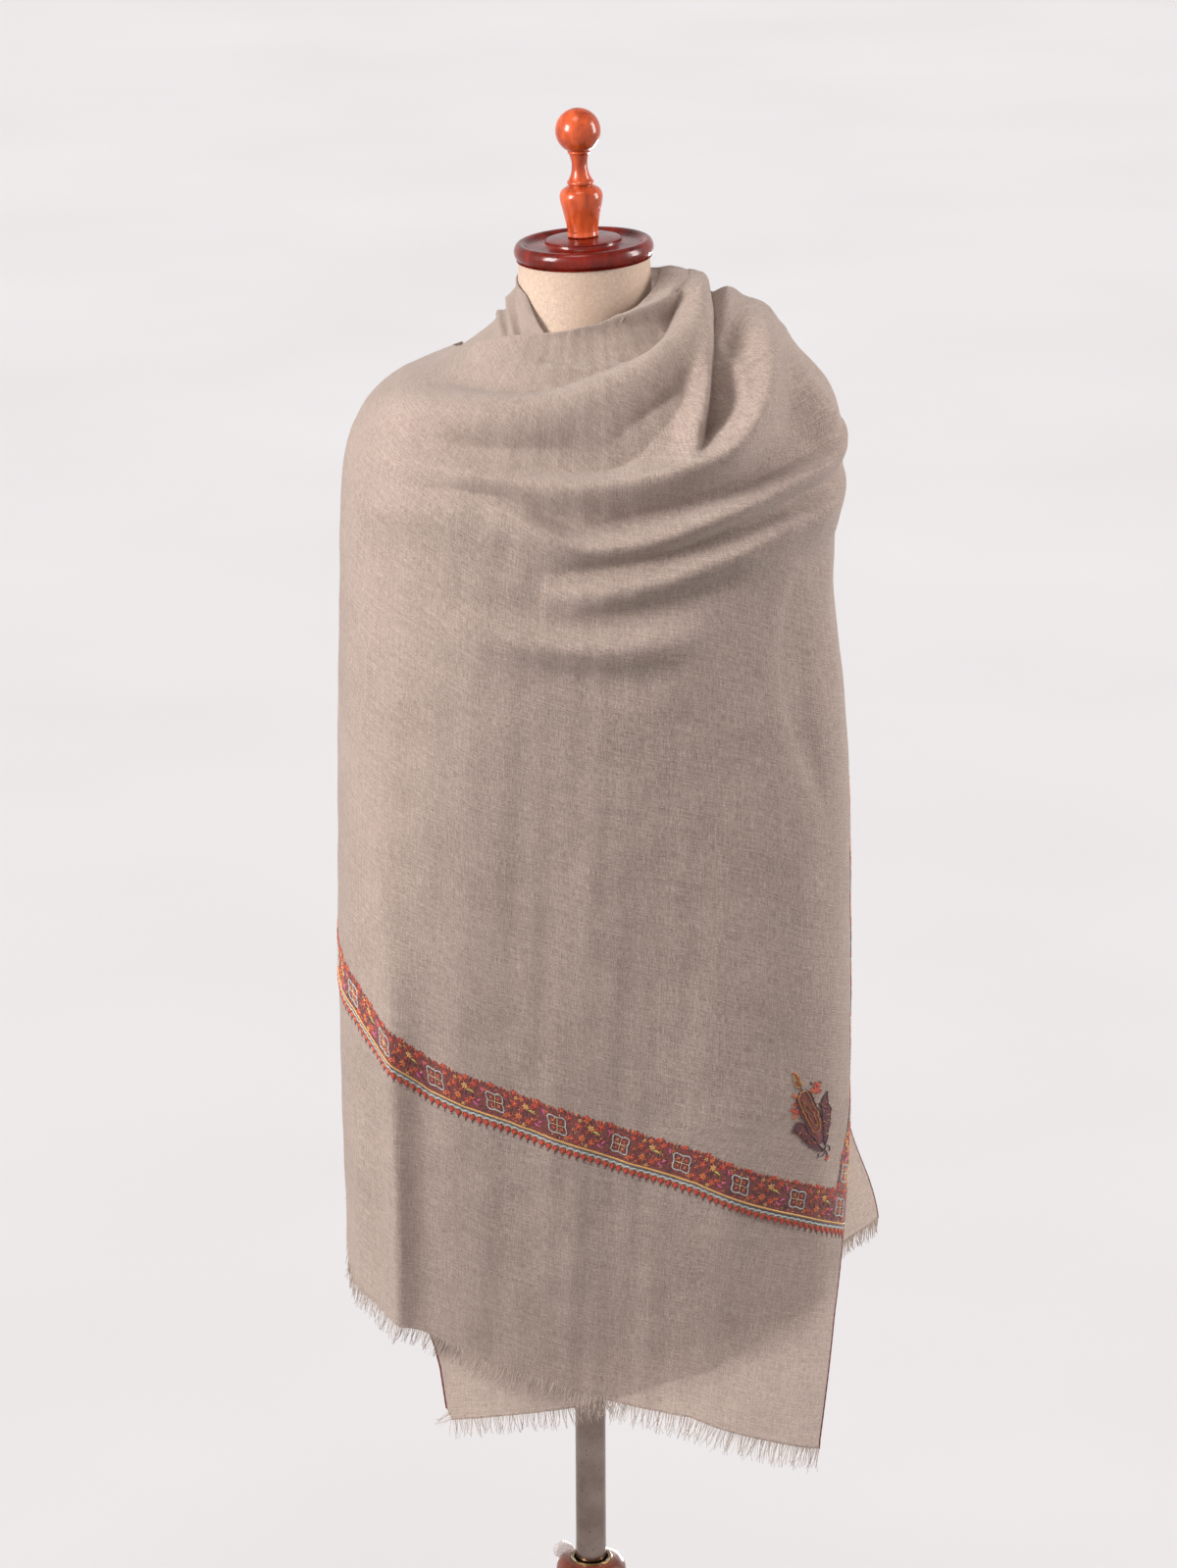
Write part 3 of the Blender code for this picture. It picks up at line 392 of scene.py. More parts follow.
def back_folds(angle, z):
    """Folds of the hidden back, shallow under the nape, deeper at the hem."""
    degrees = np.degrees(angle)
    total = np.zeros(np.broadcast(angle, z).shape)
    # middle at the nape, middle at the hem (degrees), half width, height
    for top, hem, width, height in ((-128, -142, 9, 0.006), (-112, -118, 7, 0.004),
                                    (-98, -96, 10, 0.008), (-84, -72, 7, 0.005),
                                    (-66, -50, 9, 0.007), (-50, -28, 6, 0.004)):
        t = smoothstep(1.42, 0.78, z)
        middle = top + (hem - top) * t
        total += height * (0.18 + 0.82 * t) * np.exp(-((degrees - middle) / width) ** 2)
    # two slack swags below the neck
    for level, sag, reach, height in ((1.405, 0.045, 0.012, 0.004),
                                      (1.330, 0.060, 0.018, 0.004)):
        middle = level - sag * np.exp(-((degrees + 88.0) / 46.0) ** 2) + sag
        total += height * np.exp(-((z - middle + 0.03) / reach) ** 2)
    edge = smoothstep(-164.0, -150.0, degrees) * smoothstep(-6.0, -20.0, degrees)
    nape = smoothstep(1.53, 1.47, z)
    return total * edge * nape


def soft_floor(x, floor, ease=0.0008):
    return floor + ease * np.logaddexp(0.0, (x - floor) / ease)


def front_folds(point):
    """All folds of the over layer, calmer where the right side turns away."""
    calm = 1.0 - 0.75 * smoothstep(0.188, 0.222, point[..., 0])
    fold = fold_height(point, FOLDS) + fold_height(point, FINE_FOLDS)
    return soft_floor(FOLD_GAIN * fold * calm, -0.0032)


def over_points(u, v):
    ref = OVER_RIGHT + (OVER_LEFT - OVER_RIGHT) * u
    top = from_pairs(OVER_TOP, ref)
    hem = ring_of_height(from_pairs(OVER_HEM, np.maximum(ref, 26.0)))
    w = top + (hem - top) * v
    height = np.interp(w, RING_NUMBERS, RING_HEIGHTS)
    right = from_pairs(OVER_SELVEDGE, height)
    angle = np.radians(ref + (right - OVER_RIGHT) * (1.0 - u) ** 3)
    hem = ring_of_height(from_pairs(OVER_HEM, np.degrees(angle)))
    w = top + (hem - top) * v
    point, normal = cloth_base(angle, w)
    lift = (OVER_LIFT + front_folds(point)
            + slack(point, angle) * smoothstep(0.0, 0.05, u))
    return point + normal * lift[..., None], normal, angle


def under_points(u, v):
    degrees = UNDER_LEFT + (UNDER_RIGHT - UNDER_LEFT) * u
    top = from_pairs(UNDER_TOP, degrees)
    hem = ring_of_height(from_pairs(UNDER_HEM, degrees))
    w = top + (hem - top) * v
    angle = np.radians(degrees)
    point, normal = cloth_base(angle, w)
    z = point[..., 2]
    selvedge = from_pairs(OVER_SELVEDGE, z)
    flare = (UNDER_CORNER_FLARE * (1.0 - smoothstep(0.655, 0.805, z))
             * smoothstep(9.0, 31.0, selvedge - degrees))
    tuck = UNDER_TUCK * (smoothstep(1.16, 0.86, z) * smoothstep(-4.0, 12.0, degrees)
                         * smoothstep(165.0, 140.0, degrees))
    pleats = fold_height(point, NECK_PLEATS) * smoothstep(1.474, 1.492, z)
    lift = UNDER_LIFT - tuck + flare + np.maximum(pleats, -0.0012)
    return point + normal * lift[..., None], normal, angle


def back_points(u, v):
    degrees = BACK_LEFT + (OVER_RIGHT - BACK_LEFT) * u
    hem = ring_of_height(from_pairs(BACK_HEM, degrees))
    w = hem * v
    angle = np.radians(degrees)
    point, normal = cloth_base(angle, w)
    lift = (UNDER_LIFT + (OVER_LIFT - UNDER_LIFT + front_folds(point))
            * smoothstep(-110.0, -20.0, degrees)
            + back_folds(angle, point[..., 2]))
    return point + normal * lift[..., None], normal, angle


# -------------------------------------------------------------- mesh helpers
def place(name, mesh, mat, nodes=()):
    """Put a piece, made in form coordinates, in the scene, riding on the body."""
    obj = bpy.data.objects.new(name, mesh)
    bpy.context.scene.collection.objects.link(obj)
    mesh.materials.clear()
    mesh.materials.append(mat)
    mesh.transform(Matrix.Translation((0.0, POLE_SET_BACK, 0.0)))
    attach(obj, "root")
    if nodes:
        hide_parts(*nodes)
    return obj


def mesh_from(name, points, faces):
    mesh = bpy.data.meshes.new(name)
    mesh.from_pydata(np.asarray(points, float).reshape(-1, 3).tolist(), [], faces)
    mesh.shade_smooth()
    return mesh


def grid_faces(rows, columns):
    i, j = np.meshgrid(np.arange(rows - 1), np.arange(columns - 1), indexing="ij")
    a = (i * columns + j).ravel()
    return np.stack([a, a + 1, a + columns + 1, a + columns], 1)


def set_uv(mesh, uv):
    """A map in metres of cloth, for the weave."""
    layer = mesh.uv_layers.new(name="cloth")
    loops = np.zeros(len(mesh.loops), np.int32)
    mesh.loops.foreach_get("vertex_index", loops)
    layer.data.foreach_set("uv", np.asarray(uv, float)[loops].ravel())


def lengths(points, axis):
    step = np.linalg.norm(np.diff(points, axis=axis), axis=-1)
    zero = np.zeros_like(np.take(step, [0], axis=axis))
    return np.concatenate([zero, np.cumsum(step, axis=axis)], axis=axis)


class Stretch:
    """One stretch of the shawl: a fine grid and where each thread runs."""

    def __init__(self, points_of, us, vs):
        self.points_of, self.us, self.vs = points_of, us, vs
        self.points, self.normals, self.angle = points_of(
            *np.meshgrid(us, vs, indexing="ij"))
        down = lengths(self.points, 1)
        self.above_hem = down[:, -1:] - down
        self.round = lengths(self.points, 0)
        self.hem_run = self.round[:, -1]

    def mesh(self, name, offset=(0.0, 0.0), roll=0.0):
        points, above = self.points, self.above_hem
        if roll:
            # the upper edge is turned in, with a round fold
            up = points[:, 0] - points[:, 1]
            up /= np.linalg.norm(up, axis=1, keepdims=True)
            rows = [points[:, 0] + roll * (up * math.sin(t)
                                           - self.normals[:, 0] * (1.0 - math.cos(t)))
                    for t in np.radians((180.0, 150.0, 120.0, 90.0, 60.0, 30.0))]
            rows.insert(0, rows[0] - up * 0.006)
            points = np.concatenate([np.stack(rows, 1), points], 1)
            above = np.concatenate([above[:, :1] + 0.001 * np.arange(7, 0, -1), above], 1)
        faces = grid_faces(*points.shape[:2])
        mesh = mesh_from(name, points, faces.tolist())
        uv = np.stack([self.hem_run[:, None] + 0.0 * above + offset[0],
                       above + offset[1]], -1)
        set_uv(mesh, uv.reshape(-1, 2))
        middle = points.shape[0] // 2 * points.shape[1] + 20
        normal, centre = mesh.polygons[middle].normal, mesh.polygons[middle].center
        if normal.x * centre.x + normal.y * centre.y < 0.0:
            mesh.flip_normals()
        return mesh

    def measure_at(self, above):
        """Run along the cloth of every column, at a height above the hem."""
        above = np.broadcast_to(above, len(self.us))
        row = np.array([np.interp(q, h[::-1], np.arange(len(h))[::-1])
                        for q, h in zip(above, self.above_hem)])
        k = np.clip(np.floor(row).astype(int), 0, len(self.vs) - 2)
        t = (row - k)[:, None]
        index = np.arange(len(self.us))
        line = self.points[index, k] * (1 - t) + self.points[index, k + 1] * t
        return lengths(line, 0)

    def line_above_hem(self, pairs):
        """Height above the hem, in every column, of a line of (angle, z)."""
        z = from_pairs(pairs, np.degrees(self.angle))
        return np.array([np.interp(0.0, (self.points[k, :, 2] - z[k])[::-1],
                                   self.above_hem[k][::-1])
                         for k in range(len(self.us))])

    def spot(self, a, b, run, foot=0.0):
        """(u, v) of the point a along and b above the foot line."""
        b = b + np.interp(a, run, np.broadcast_to(foot, len(run)))
        u_index = np.interp(a, run, np.arange(len(self.us)))
        i = np.clip(np.floor(u_index).astype(int), 0, len(self.us) - 2)
        t = u_index - i
        v0 = np.array([np.interp(q, self.above_hem[k][::-1], self.vs[::-1])
                       for q, k in zip(b, i)])
        v1 = np.array([np.interp(q, self.above_hem[k + 1][::-1], self.vs[::-1])
                       for q, k in zip(b, i)])
        return np.interp(u_index, np.arange(len(self.us)), self.us), v0 * (1 - t) + v1 * t


# ------------------------------------------------------------------ materials
class Graph:
    """A material's node tree, with short calls for the nodes used here."""

    def __init__(self, name):
        self.mat = bpy.data.materials.new(name)
        self.mat.use_nodes = True
        self.tree = self.mat.node_tree
        self.shader = self.tree.nodes["Principled BSDF"]

    def put(self, socket, value):
        if isinstance(value, bpy.types.NodeSocket):
            self.tree.links.new(value, socket)
        else:
            socket.default_value = value

    def node(self, kind, **values):
        node = self.tree.nodes.new(kind)
        for key, value in values.items():
            if key.startswith("_"):
                setattr(node, key[1:], value)
            else:
                self.put(node.inputs[key.replace("_", " ")], value)
        return node

    def object_space(self):
        return self.node("ShaderNodeTexCoord").outputs["Object"]

    def cloth_map(self):
        return self.node("ShaderNodeUVMap", _uv_map="cloth").outputs["UV"]

    def scaled(self, vector, scale, turn=0.0):
        return self.node("ShaderNodeMapping", Vector=vector, Scale=scale,
                         Rotation=(0.0, 0.0, turn)).outputs["Vector"]

    def noise(self, vector, scale, detail=2.0, rough=0.5, warp=0.0):
        return self.node("ShaderNodeTexNoise", Vector=vector, Scale=scale,
                         Detail=detail, Roughness=rough,
                         Distortion=warp).outputs["Fac"]

    def remap(self, value, low, high, to_low=0.0, to_high=1.0):
        return self.node("ShaderNodeMapRange", Value=value, From_Min=low,
                         From_Max=high, To_Min=to_low,
                         To_Max=to_high).outputs["Result"]

    def math(self, operation, a, b=0.0):
        node = self.node("ShaderNodeMath", _operation=operation)
        self.put(node.inputs[0], a)
        self.put(node.inputs[1], b)
        return node.outputs[0]

    def mix(self, factor, a, b, blend="MIX"):
        node = self.node("ShaderNodeMix", _data_type="RGBA", _blend_type=blend)
        self.put(node.inputs["Factor"], factor)
        self.put(node.inputs[6], a)
        self.put(node.inputs[7], b)
        return node.outputs[2]

    def bump(self, height, strength, distance):
        return self.node("ShaderNodeBump", Height=height, Strength=strength,
                         Distance=distance).outputs["Normal"]

    def shade(self, **values):
        for key, value in values.items():
            self.put(self.shader.inputs[key.replace("_", " ")], value)
        return self.mat


def rgb(red, green, blue):
    """An sRGB colour, 0 to 255, as the linear value a shader takes."""
    line = [c / 255.0 for c in (red, green, blue)]
    return tuple(c / 12.92 if c <= 0.04045 else ((c + 0.055) / 1.055) ** 2.4
                 for c in line) + (1.0,)


def pashmina_material(name, light, dark, through):
    """Heathered handspun wool: uneven threads both ways, slubs and nap."""
    g = Graph(name)
    uv = g.cloth_map()
    weft = g.noise(g.scaled(uv, (150.0, 1500.0, 1.0)), 1.0, 3.0, 0.6)
    warp = g.noise(g.scaled(uv, (1500.0, 130.0, 1.0)), 1.0, 3.0, 0.6)
    slub = g.noise(g.scaled(uv, (26.0, 620.0, 1.0)), 1.0, 2.0, 0.5, 0.2)
    slub_up = g.noise(g.scaled(uv, (640.0, 22.0, 1.0)), 1.0, 2.0, 0.5, 0.2)
    fleck = g.noise(g.scaled(uv, (760.0, 820.0, 1.0)), 1.0, 4.0, 0.7)
    cloud = g.noise(g.scaled(uv, (9.0, 12.0, 1.0)), 1.0, 3.0, 0.5)
    threads = g.math("ADD", g.remap(weft, 0.3, 0.7, -0.5, 0.5),
                     g.remap(warp, 0.3, 0.7, -0.5, 0.5))
    slubs = g.math("ADD", g.remap(slub, 0.40, 0.70, -0.25, 0.45),
                   g.remap(slub_up, 0.42, 0.70, -0.20, 0.35))
    tone = g.math("ADD", g.math("MULTIPLY", threads, 0.52),
                  g.math("MULTIPLY", slubs, 0.30))
    tone = g.math("ADD", tone, g.remap(fleck, 0.25, 0.75, -0.42, 0.42))
    tone = g.math("ADD", tone, g.remap(cloud, 0.3, 0.7, -0.06, 0.06))
    colour = g.mix(g.remap(tone, -0.6, 0.6), dark, light)
    height = g.math("ADD", threads, g.remap(fleck, 0.2, 0.8))
    g.shade(Base_Color=colour, Roughness=0.92, Sheen_Weight=0.35,
            Sheen_Roughness=0.45, Sheen_Tint=(1.0, 0.95, 0.9, 1.0),
            Specular_IOR_Level=0.15,
            Normal=g.bump(height, 0.55, 0.0005))
    thin = g.node("ShaderNodeBsdfTranslucent", Color=g.mix(0.5, colour, light))
    both = g.node("ShaderNodeMixShader", Fac=through)
    g.tree.links.new(g.shader.outputs[0], both.inputs[1])
    g.tree.links.new(thin.outputs[0], both.inputs[2])
    out = g.tree.nodes["Material Output"]
    g.tree.links.new(both.outputs[0], out.inputs["Surface"])
    return g.mat


def thread_material():
    """Silky embroidery thread, its colour from the stitches themselves."""
    g = Graph("embroidery_thread")
    own = g.node("ShaderNodeVertexColor", _layer_name="thread").outputs["Color"]
    space = g.object_space()
    ply = g.noise(g.scaled(space, (2600.0, 2600.0, 900.0)), 1.0, 2.0)
    shade = g.noise(space, 240.0, 3.0)
    darker = g.mix(g.remap(ply, 0.3, 0.7), rgb(150, 140, 140), rgb(255, 255, 255))
    colour = g.mix(1.0, own, darker, "MULTIPLY")
    colour = g.mix(g.remap(shade, 0.35, 0.75, 0.0, 0.35), colour, own)
    return g.shade(Base_Color=colour, Roughness=0.55, Sheen_Weight=0.2,
                   Normal=g.bump(ply, 0.5, 0.0004))


def linen_material():
    g = Graph("form_linen")
    space = g.object_space()
    rib = g.noise(g.scaled(space, (900.0, 900.0, 260.0)), 1.0, 2.0)
    cross = g.noise(g.scaled(space, (240.0, 240.0, 1300.0)), 1.0, 2.0)
    cloud = g.noise(space, 14.0, 3.0)
    weave = g.math("ADD", rib, cross)
    colour = g.mix(g.remap(weave, 0.7, 1.3), rgb(162, 140, 123), rgb(186, 165, 148))
    colour = g.mix(g.remap(cloud, 0.4, 0.75, 0.0, 0.4), colour, rgb(168, 138, 116))
    return g.shade(Base_Color=colour, Roughness=0.85, Sheen_Weight=0.15,
                   Normal=g.bump(weave, 0.35, 0.0005))


def wood_material(name, light, dark, grain=(90.0, 90.0, 9.0), rough=0.18, coat=0.8):
    """Stained and lacquered hardwood with streaks, pores and small wear."""
    g = Graph(name)
    space = g.object_space()
    bend = g.noise(space, 12.0, 2.0)
    moved = g.node("ShaderNodeVectorMath", _operation="ADD")
    g.put(moved.inputs[0], g.scaled(space, grain))
    g.put(moved.inputs[1], g.node("ShaderNodeCombineXYZ", X=bend, Y=bend).outputs[0])
    streak = g.noise(moved.outputs[0], 1.0, 5.0, 0.6, 0.6)
    pores = g.noise(g.scaled(space, tuple(6.0 * c for c in grain)), 1.0, 2.0)
    blotch = g.noise(space, 45.0, 3.0, 0.6)
    tone = g.math("ADD", g.remap(streak, 0.3, 0.7, 0.0, 0.75),
                  g.remap(blotch, 0.35, 0.65, -0.1, 0.35))
    colour = g.mix(tone, dark, light)
    colour = g.mix(g.remap(pores, 0.62, 0.75, 0.0, 0.55), colour, dark)
    wear = g.noise(space, 160.0, 3.0)
    return g.shade(Base_Color=colour,
                   Roughness=g.remap(wear, 0.3, 0.7, rough, rough + 0.14),
                   Coat_Weight=coat, Coat_Roughness=0.08, Specular_IOR_Level=0.25,
                   Normal=g.bump(g.math("ADD", streak, pores), 0.12, 0.0004))


def metal_material(name, bright, dull, rough, pits):
    g = Graph(name)
    space = g.object_space()
    scratch = g.noise(g.scaled(space, (700.0, 700.0, 22.0)), 1.0, 3.0)
    pit = g.noise(space, 420.0, 2.0, 0.6)
    cloud = g.noise(space, 30.0, 4.0, 0.6)
    spots = g.remap(pit, pits, pits + 0.06)
    colour = g.mix(g.remap(cloud, 0.35, 0.75), bright, dull)
    colour = g.mix(spots, colour, rgb(70, 52, 42))
    return g.shade(Base_Color=colour, Metallic=1.0,
                   Roughness=g.math("ADD", g.remap(scratch, 0.3, 0.7, rough, rough + 0.16),
                                    g.math("MULTIPLY", spots, 0.3)),
                   Normal=g.bump(g.math("SUBTRACT", scratch, spots), 0.10, 0.0003))


def plastic_material():
    g = Graph("clear_plastic")
    space = g.object_space()
    haze = g.noise(space, 60.0, 4.0, 0.6)
    scuff = g.noise(space, 700.0, 3.0)
    return g.shade(Base_Color=g.mix(haze, rgb(236, 232, 232), rgb(208, 198, 194)),
                   Transmission_Weight=0.55, IOR=1.46,
                   Roughness=g.remap(scuff, 0.3, 0.7, 0.12, 0.34),
                   Normal=g.bump(haze, 0.2, 0.001))


def floor_material():
    g = Graph("studio_paper")
    space = g.object_space()
    fibre = g.noise(space, 900.0, 3.0)
    cloud = g.noise(space, 1.2, 2.0)
    colour = g.mix(g.remap(cloud, 0.3, 0.7), rgb(249, 246, 246), rgb(253, 251, 251))
    return g.shade(Base_Color=colour, Roughness=0.95, Specular_IOR_Level=0.05,
                   Normal=g.bump(fibre, 0.05, 0.0005))


PASHMINA = pashmina_material("pashmina", rgb(206, 188, 177), rgb(126, 108, 99), 0.30)
FRINGE = pashmina_material("fringe", rgb(226, 210, 199), rgb(180, 162, 151), 0.35)
THREAD = thread_material()
LINEN = linen_material()
CAP_WOOD = wood_material("mahogany", rgb(120, 26, 12), rgb(62, 10, 6), coat=0.2)
FINIAL_WOOD = wood_material("cherry", rgb(204, 88, 44), rgb(116, 38, 18), coat=0.25)
STAND_WOOD = wood_material("stand_wood", rgb(118, 54, 34), rgb(62, 24, 15),
                           (70.0, 70.0, 10.0), 0.32, 0.35)
# The chrome's base colours are a dark brownish grey, far darker than bright metal: a
# painted reflection of the dark room and the brown shawl around the pole.
CHROME = metal_material("chrome", rgb(140, 126, 118), rgb(112, 95, 86), 0.12, 0.66)
BRASS = metal_material("brass", rgb(150, 124, 82), rgb(84, 66, 44), 0.30, 0.60)
CLEAR = plastic_material()

# ------------------------------------------------------------------ the cloth
def spread(count, upper_share, upper_part):
    upper = round(count * upper_share)
    return np.concatenate([np.linspace(0.0, upper_part, upper, endpoint=False),
                           np.linspace(upper_part, 1.0, count - upper + 1)])


over = Stretch(over_points, np.linspace(0.0, 1.0, 281), spread(324, 0.57, 0.40))
under = Stretch(under_points, np.linspace(0.0, 1.0, 161), np.linspace(0.0, 1.0, 181))
back = Stretch(back_points, np.linspace(0.0, 1.0, 181), np.linspace(0.0, 1.0, 221))

shawl_over = place("shawl_over_cloth", over.mesh("shawl_over_cloth", roll=0.0022), PASHMINA,
                   ["shawl_over"])
shawl_under = place("shawl_under_cloth",
                    under.mesh("shawl_under_cloth", (2.0, 0.0), roll=0.0011),
                    PASHMINA, ["shawl_under"])
shawl_back = place("shawl_back_cloth", back.mesh("shawl_back_cloth", (4.0, 0.0)),
                   PASHMINA, ["shawl_back"])


# ------------------------------------------------------------------ the fringe
def fringe(name, stretch, u_from, pitch, long, short, node):
    """Loose ends of the threads, uneven in length and lie."""
    us = stretch.us
    run = stretch.hem_run
    start, end = np.interp([u_from, 1.0], us, run)
    count = int((end - start) / pitch)
    where = start + (np.arange(count) + rng.uniform(0.1, 0.9, count)) * pitch
    u = np.interp(where, run, us)
    root = np.stack([np.interp(u, us, stretch.points[:, -1, k]) for k in range(3)], 1)
    normal = np.stack([np.interp(u, us, stretch.normals[:, -1, k]) for k in range(3)], 1)
    tangent = np.gradient(root, axis=0)
    tangent /= np.linalg.norm(tangent, axis=1, keepdims=True) + 1e-9
    hang = np.cross(tangent, normal)
    hang *= -np.sign(hang[:, 2:3])
    hang = hang * 0.8 + np.array([0.0, 0.0, -0.2])
    share = (where - start) / (end - start)
    size = (long + (short - long) * share) * rng.uniform(0.72, 1.08, count)
    tuft = np.sin(where * 900.0 + 2.0 * np.sin(where * 260.0))
    lean = (0.20 * tuft + rng.normal(0.0, 0.14, count))[:, None] * tangent
    out = rng.normal(0.02, 0.09, count)[:, None] * normal
    steps, sides = 5, 3
    radius = rng.uniform(0.00030, 0.00052, count)
    phase = rng.uniform(0.0, 6.28, count)
    points = np.zeros((count, steps + 1, sides, 3))
    for k in range(steps + 1):
        t = k / steps
        middle = (root + hang * (size * t)[:, None]
                  + (lean + out) * (size * t * t)[:, None]
                  + tangent * (0.0007 * np.sin(phase + 5.0 * t))[:, None] * t
                  - hang * 0.002 * (1 - t))
        thin = radius * (1.0 - 0.55 * t)
        for s in range(sides):
            a = 2.0 * math.pi * s / sides + phase
            points[:, k, s] = (middle + tangent * (thin * np.cos(a))[:, None]
                               + normal * (thin * np.sin(a))[:, None])
    faces = []
    block = (steps + 1) * sides
    for n in range(count):
        base = n * block
        for k in range(steps):
            for s in range(sides):
                p = base + k * sides + s
                q = base + k * sides + (s + 1) % sides
                faces.append((p, q, q + sides, p + sides))
        faces.append(tuple(base + steps * sides + s for s in range(sides)))
    mesh = mesh_from(name, points, faces)
    uv = np.zeros((count, steps + 1, sides, 2))
    uv[..., 0] = where[:, None, None]
    uv[..., 1] = -size[:, None, None] * (np.arange(steps + 1) / steps)[None, :, None]
    set_uv(mesh, uv.reshape(-1, 2))
    return place(name, mesh, FRINGE, [node])


fringe_over = fringe("fringe_over_threads", over, 0.0, 0.00115,
                     FRINGE_LONG, FRINGE_SHORT, "fringe_over")
corner = (UNDER_LEFT - UNDER_CORNER) / (UNDER_LEFT - UNDER_RIGHT)
fringe_under = fringe("fringe_under_threads", under, corner, 0.0013,
                      FRINGE_SHORT + 0.001, FRINGE_SHORT + 0.001, "fringe_under")

# --------------------------------------------------------------- embroidery
RED = rgb(196, 66, 42)
ORANGE = rgb(214, 112, 56)
MAROON = rgb(114, 52, 48)
WINE = rgb(84, 30, 42)
NAVY = rgb(70, 44, 60)
PINK = rgb(204, 84, 142)
PALE = rgb(176, 188, 186)
GOLD = rgb(224, 172, 96)
OLIVE = rgb(184, 176, 84)
CREAM = rgb(226, 204, 160)

# The bands are charted from their gold line, in metres of cloth.
FIELD = 0.0275           # height of the flowered field
REPEAT = 0.056
EDGE_INSET = 0.0022      # from the selvedge or hem to the band's gold line
SIDE_BAND_TOP = 0.62     # metres above the over layer's hem
BOTEH_TIP = (0.1785, 0.851)      # (x, z), seen from the front
BOTEH_FOOT = (0.2075, 0.765)


class Stitches:
    """Embroidered shapes on the flat cloth: (along, above hem, raised)."""

    def __init__(self):
        self.points, self.faces, self.colours = [], [], []

    def add(self, points, faces, colour):
        base = len(self.points)
        self.points.extend(points)
        self.faces.extend(tuple(base + k for k in f) for f in faces)
        self.colours.extend([colour] * len(points))

    def petal(self, a, b, length, width, degrees, colour, raised=0.0007, curl=0.0):
        """A satin-stitched leaf from (a, b), domed, pointed at both ends."""
        c, s = math.cos(math.radians(degrees)), math.sin(math.radians(degrees))
        rim = []
        stations = 5
        for k in range(stations + 1):
            t = k / stations
            half = width / 2.0 * math.sin(math.pi * min(1.0, t * 0.92 + 0.06)) ** 0.8
            bend = curl * math.sin(math.pi * t)
            rim.append((t * length, half + bend, -half + bend, bend))
        points = []
        for x, left, right, middle in rim:
            for y, h in ((left, 0.0001), (middle, raised), (right, 0.0001)):
                points.append((a + x * c - y * s, b + x * s + y * c, h))
        faces = []
        for k in range(stations):
            p = 3 * k
            faces += [(p, p + 1, p + 4, p + 3), (p + 1, p + 2, p + 5, p + 4)]
        self.add(points, faces, colour)

    def line(self, path, width, colour, raised=0.0007):
        """A line of chain stitch through (along, above) points."""
        path = np.array(path, float)
        way = np.gradient(path, axis=0)
        way /= np.linalg.norm(way, axis=1, keepdims=True) + 1e-12
        square = np.stack([-way[:, 1], way[:, 0]], 1)
        points, faces = [], []
        for k, (p, n) in enumerate(zip(path, square)):
            swell = 1.0 if k % 2 else 0.78
            for side, h in ((1.0, 0.0001), (0.0, raised * (1.0 if k % 2 else 0.8)),
                            (-1.0, 0.0001)):
                q = p + n * side * width / 2.0 * swell
                points.append((q[0], q[1], h))
        for k in range(len(path) - 1):
            p = 3 * k
            faces += [(p, p + 1, p + 4, p + 3), (p + 1, p + 2, p + 5, p + 4)]
        self.add(points, faces, colour)

    def flower(self, a, b, size, petals, colour, heart, turn=0.0):
        for k in range(petals):
            d = turn + 360.0 * k / petals
            self.petal(a, b, size, size * 0.62, d, colour, 0.0008)
        self.petal(a - size * 0.22, b, size * 0.44, size * 0.40, 0.0, heart, 0.0011)

    def build(self, name, stretch, run, foot=0.0):
        flat = np.array(self.points)
        u, v = stretch.spot(np.clip(flat[:, 0], run[0], run[-1]), flat[:, 1], run, foot)
        point, normal, _angle = stretch.points_of(u, np.clip(v, 0.0, 1.0))
        e = 1e-3
        pu, _n, _a = stretch.points_of(np.clip(u + e, 0, 1), v)
        pu0, _n, _a = stretch.points_of(np.clip(u - e, 0, 1), v)
        pv, _n, _a = stretch.points_of(u, np.clip(v + e, 0, 1))
        pv0, _n, _a = stretch.points_of(u, np.clip(v - e, 0, 1))
        true = np.cross(pu - pu0, pv - pv0)
        true /= np.linalg.norm(true, axis=1, keepdims=True) + 1e-12
        true *= np.sign(np.sum(true * normal, axis=1, keepdims=True))
        point = point + true * (flat[:, 2:3] + 0.0002)
        mesh = mesh_from(name, point, self.faces)
        layer = mesh.color_attributes.new(name="thread", type="FLOAT_COLOR",
                                          domain="POINT")
        layer.data.foreach_set("color", np.array(self.colours, float).ravel())
        return place(name, mesh, THREAD)


